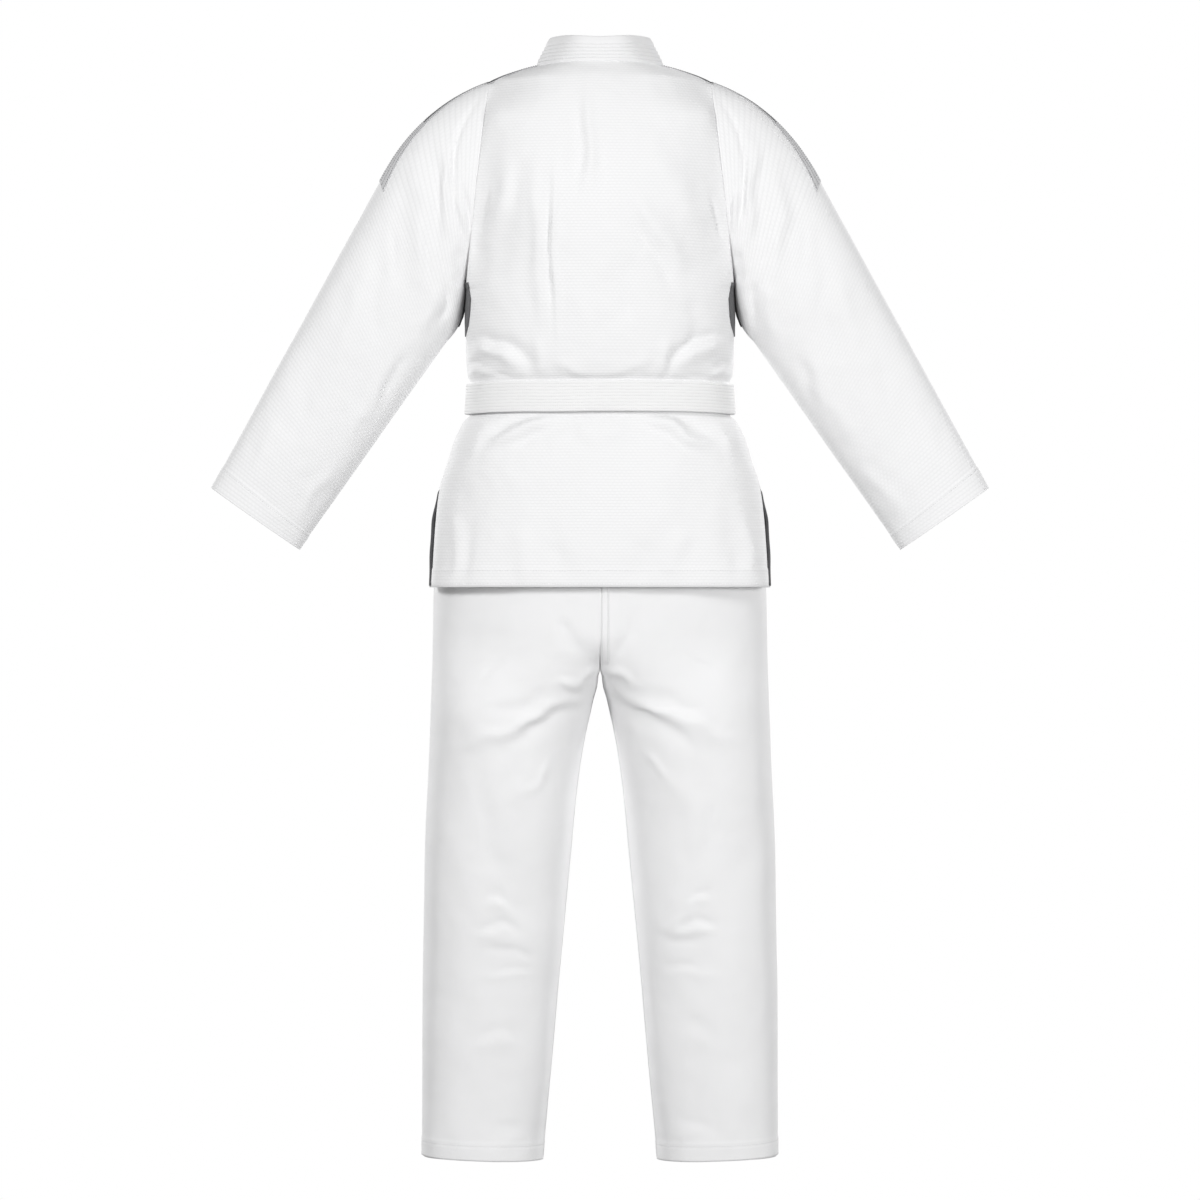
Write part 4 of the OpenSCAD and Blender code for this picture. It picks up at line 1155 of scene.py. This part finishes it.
# Trousers
SEAT_FOLDS = [
    ([(14, -868), (60, -896), (120, -924), (196, -953)], 2.6, 10, 12),
    ([(20, -880), (70, -915), (130, -955)], -1.8, 9, 10),
    ([(60, -870), (110, -890), (160, -905)], -1.4, 10, 10),
    ([(126, -825), (150, -840), (170, -860)], -1.2, 4, 6),
    ([(12, -835), (40, -800), (62, -770)], -1.6, 9, 12),
    ([(6, -842), (26, -850), (50, -862)], 2.0, 6, 6),
    ([(60, -960), (86, -990), (110, -1010)], 1.2, 6, 8),
    ([(96, -980), (130, -1040), (140, -1130)], 1.0, 16, 16),
    ([(170, -1000), (150, -1080), (136, -1150)], -0.9, 14, 16),
]
KNEE_FOLDS = [
    ([(168, -1156), (140, -1160), (118, -1176)], -2.6, 4, 6),
    ([(160, -1166), (136, -1170), (114, -1184)], 2.2, 7, 6),
    ([(140, -1180), (110, -1200), (92, -1222)], 2.2, 9, 8),
    ([(172, -1196), (136, -1198), (104, -1206)], -2.6, 5, 7),
    ([(166, -1210), (130, -1212), (100, -1218)], 2.6, 7, 8),
    ([(156, -1226), (120, -1226), (86, -1228)], -1.8, 5, 5),
    ([(150, -1262), (120, -1260), (92, -1258)], -1.8, 5, 6),
    ([(168, -1272), (130, -1270), (100, -1268)], 1.3, 8, 8),
    ([(176, -1352), (140, -1346), (110, -1338)], -1.6, 10, 12),
    ([(170, -1368), (140, -1362), (116, -1356)], 1.0, 10, 12),
    ([(200, -1290), (216, -1340), (222, -1400)], 1.0, 14, 14),
    ([(160, -1484), (130, -1480), (104, -1472)], -1.2, 6, 7),
    ([(150, -1500), (120, -1498), (98, -1494)], 1.0, 6, 6),
    ([(215, -1100), (228, -1180), (226, -1250)], 1.0, 14, 14),
]
t_rows = spread((WAIST, -780, 48), (-780, -920, 44), (-920, ANKLE + 26, 118), (ANKLE + 26, ANKLE, 10))
t_angle = np.linspace(0, 180, 81)
FORK_TOP, FORK_LOW = -795.0, -915.0
PATCH_TOP, PATCH_LOW, PATCH_ANGLES = -1050, -1330, (44, 138)
CHANNEL = 38  # the waistband's height


def leg_sheet(z, a, back_half):
    """One half of a leg from the outseam (angle 0) to the centre seam or the inseam (180).
    Above the fork it is half of the seat; below it is round the leg, and between them it turns in."""
    depth = (leg_back if back_half else leg_front)(z)
    r = np.radians(a)
    inner = np.where(z > CROTCH, 0, in_x(z) * smooth((CROTCH - z) / 12))
    out = out_x(z)
    mid, hw = (out + inner) / 2, (out - inner) / 2
    x = mid + hw * np.cos(r)
    seat = rounded(x / out, LEG_OVAL)
    leg = rounded(np.cos(r), LEG_OVAL)
    y = depth * mix(seat, leg, smooth((FORK_TOP - z) / (FORK_TOP - FORK_LOW)))
    return stack(x, y if back_half else -y, z)


def leg_lift(x, z, a, sign, back_half):
    seed = (51 if sign > 0 else 52) + (0 if back_half else 10)
    shift = 0 if sign > 0 else 7
    wx, wz = uneven(x + shift * 0.6, z - shift * (z < -900), seed + 30, 6.0)
    strength = 1.0 if back_half else 0.7
    h = strength * (1.8 * folds(wx, wz, *SEAT_FOLDS) + 0.8 * folds(wx, wz, *KNEE_FOLDS))
    h += waves(x, z, seed, 80, 1.0, 1.6) + waves(x, z, seed + 4, 26, 0.2)
    return h * (smooth(a / 14) * 0.9 + 0.1) * (smooth((180 - a) / 14) * 0.9 + 0.1) * smooth((WAIST - z) / 30)


def leg_body(side, sign):
    return ("trousers", side + "_leg", (sign * 0.12, 0, CROTCH * MM), (sign * 0.12, 0, -0.99))


def trouser_panel(side, sign, back_half):
    """One cloth from the waist to the hem."""
    z, a = plane(t_rows, t_angle)
    p = leg_sheet(z, a, back_half)
    p[..., 2] += mix(4, -4, a / 180) * smooth((-1380 - z) / 140)  # the inseam hangs a little lower
    centre = stack((out_x(z) + in_x(z)) / 2, 0 * z, z)
    lift = leg_lift(p[..., 0], z, a, sign, back_half)
    lift += step_at(z - ANKLE, 23, 0.8) + groove(z - ANKLE - 21, 0.6)
    inseam = (180 - a) * 1.6
    low = smooth((CROTCH - z) / 30)
    lift += (step_at(inseam, 9, 0.7) + groove(inseam - 8, 0.5) + groove(inseam - 2.5, 0.4)) * low
    p, centre = on_side(sign, p, centre)
    half_name = "back" if back_half else "front"
    ob, q, n = cloth(side + "_trouser_" + half_name, p, centre, TROUSER, thick=1.6, lift=lift)
    nodes = [side + "_seat_panel", side + "_leg_back"] if back_half else [side + "_leg_front"]
    keep(ob, nodes, leg_body(side, sign))
    low_rows = (row_of(t_rows, CROTCH - 24), len(t_rows) - 2)
    lines = [line_on(q, n, low_rows, 80 - d / 1.6 / 2.25, 420) for d in (2.5, 8)]
    lines.append(line_on(q, n, row_of(t_rows, ANKLE + 21), (0, 80), 240))
    thread = stitches(side + "_trouser_" + half_name + "_stitches", lines, THREAD, radius=0.28)
    keep(thread, body=leg_body(side, sign))


for side, sign in (("left", 1), ("right", -1)):
    trouser_panel(side, sign, True)
    trouser_panel(side, sign, False)
    # Hem tape inside
    tz, ta = plane(np.linspace(ANKLE + 22, ANKLE + 1, 6), np.linspace(0, 360, 97)[:-1])
    tp = leg_pt(tz, ta)
    c = tp.mean(1, keepdims=True)
    tp, c = on_side(sign, tp, c)
    tape, _, _ = cloth(side + "_leg_tape_cloth", tp, c, TAPE, thick=1.0, wrap=True,
                       lift=np.full(tz.shape, -1.9))
    keep(tape, [side + "_leg_hem_tape"], side + "_leg")
    # Knee patch on the front
    kz, ka = plane(np.linspace(PATCH_TOP, PATCH_LOW, 90), np.linspace(*PATCH_ANGLES, 48))
    kp = leg_sheet(kz, ka, False)
    kc = kp * np.array([0, 0, 1.0]) + np.array([150.0, 0, 0])
    kd = 1.5 + leg_lift(kp[..., 0], kz, ka, sign, False)
    beside = np.minimum(PATCH_ANGLES[1] - ka, ka - PATCH_ANGLES[0]) * 1.6
    rim = np.minimum(np.minimum(kz - PATCH_LOW, PATCH_TOP - kz), beside)
    kd += groove(rim - 5, 0.6) - 0.8 * (1 - smooth(rim / 3))
    kp, kc = on_side(sign, kp, kc)
    patch, _, _ = cloth(side + "_knee_patch_cloth", kp, kc, TROUSER, thick=1.2, lift=kd)
    keep(patch, [side + "_knee_patch"], side + "_leg")

# Waistband channel, loops, rise strips and the crotch gusset
wz, wa = plane(np.linspace(WAIST, WAIST - CHANNEL, 16), np.linspace(0, 360, 241)[:-1])


def waist_pt(z, a, off):
    r = np.radians(a)
    x = (out_x(z) + off) * signed_pow(np.cos(r), 2 / LEG_OVAL)
    y = np.where(np.sin(r) >= 0, leg_back(z) + off, leg_front(z) + off) * signed_pow(np.sin(r), 2 / LEG_OVAL)
    return stack(x, y, z)


gather = 0.9 * np.sin(np.radians(wa) * 58 + 1.7 * np.sin(np.radians(wa) * 7))
band_lift = 1.2 + gather * np.exp(-(((wz - WAIST + 19) / 14) ** 2))
band_lift += groove(wz - WAIST + 4, 0.6) + groove(wz - WAIST + 34, 0.6)
wp = waist_pt(wz, wa, 0.6)
waistband, _, _ = cloth("waistband_channel", wp, torso_centre(wp), TROUSER, thick=1.8, wrap=True,
                        lift=band_lift)
keep(waistband, ["trousers_waistband"], "trousers")
loops = []
for k, a in enumerate((-63, -27, 36, 144, 207, 243)):
    lz, ls = plane(np.linspace(WAIST - 6, WAIST - 32, 24), np.linspace(-1, 1, 9))
    lp = waist_pt(lz, a + ls * 2.6, 2.0)
    bow = 3.2 * np.sin((WAIST - 6 - lz) / 26 * PI) ** 0.6
    ob, _, _ = cloth("loop%d" % k, lp, torso_centre(lp), TROUSER, thick=1.0, lift=bow)
    loops.append(ob)
loop_ob = join("drawstring_loops_cloth", loops)
keep(loop_ob, ["drawstring_loops"], "trousers")
for name, back_half in (("back", True), ("front", False)):
    sz, sx = plane(np.linspace(WAIST - CHANNEL, CROTCH + 1, 110), np.linspace(-12, -2, 13))
    near = np.degrees(np.arccos(np.clip(2 * np.abs(sx) / out_x(sz) - 1, -1, 1)))
    sp = leg_sheet(sz, near, back_half)
    sp[..., 0] = sx
    low = leg_lift(np.abs(sx), sz, near, -1, back_half)
    proud = 1.5 + groove(sx + 3.2, 0.4) + groove(sx + 10.6, 0.4)
    strip, q, n = cloth(name + "_rise_seam", sp, torso_centre(sp), TROUSER, thick=1.0,
                        lift=low - 0.5 + proud * smooth((sz - CROTCH - 1) / 12))
    keep(strip, [name + "_rise_strip"], "trousers")
    lines = [line_on(q, n, (0, 108), c, 300) for c in (1.7, 10.5)]
    thread = stitches(name + "_rise_stitches", lines, THREAD, radius=0.28)
    keep(thread, body="trousers")
for side, sign in (("left", 1), ("right", -1)):
    # The gusset fills the inside of the fork, from the back panel's edge to the front panel's
    gz, gs = plane(np.linspace(CROTCH + 3, FORK_LOW + 6, 40), np.linspace(0, 1, 33))
    turn = 1 - smooth((FORK_TOP - gz) / (FORK_TOP - FORK_LOW))
    gy = mix(-leg_front(gz), leg_back(gz), gs) * turn
    gx = np.where(gz > CROTCH, 0, in_x(gz) * smooth((CROTCH - gz) / 12))
    gp = stack((gx + 0.4) * sign, gy, gz)
    ob, _, _ = cloth(side + "_crotch_gusset", gp, np.array([sign * 80.0, 0, -880]), TROUSER, thick=0.8)
    keep(ob, ["crotch_gusset"] if side == "left" else [], leg_body(side, sign))
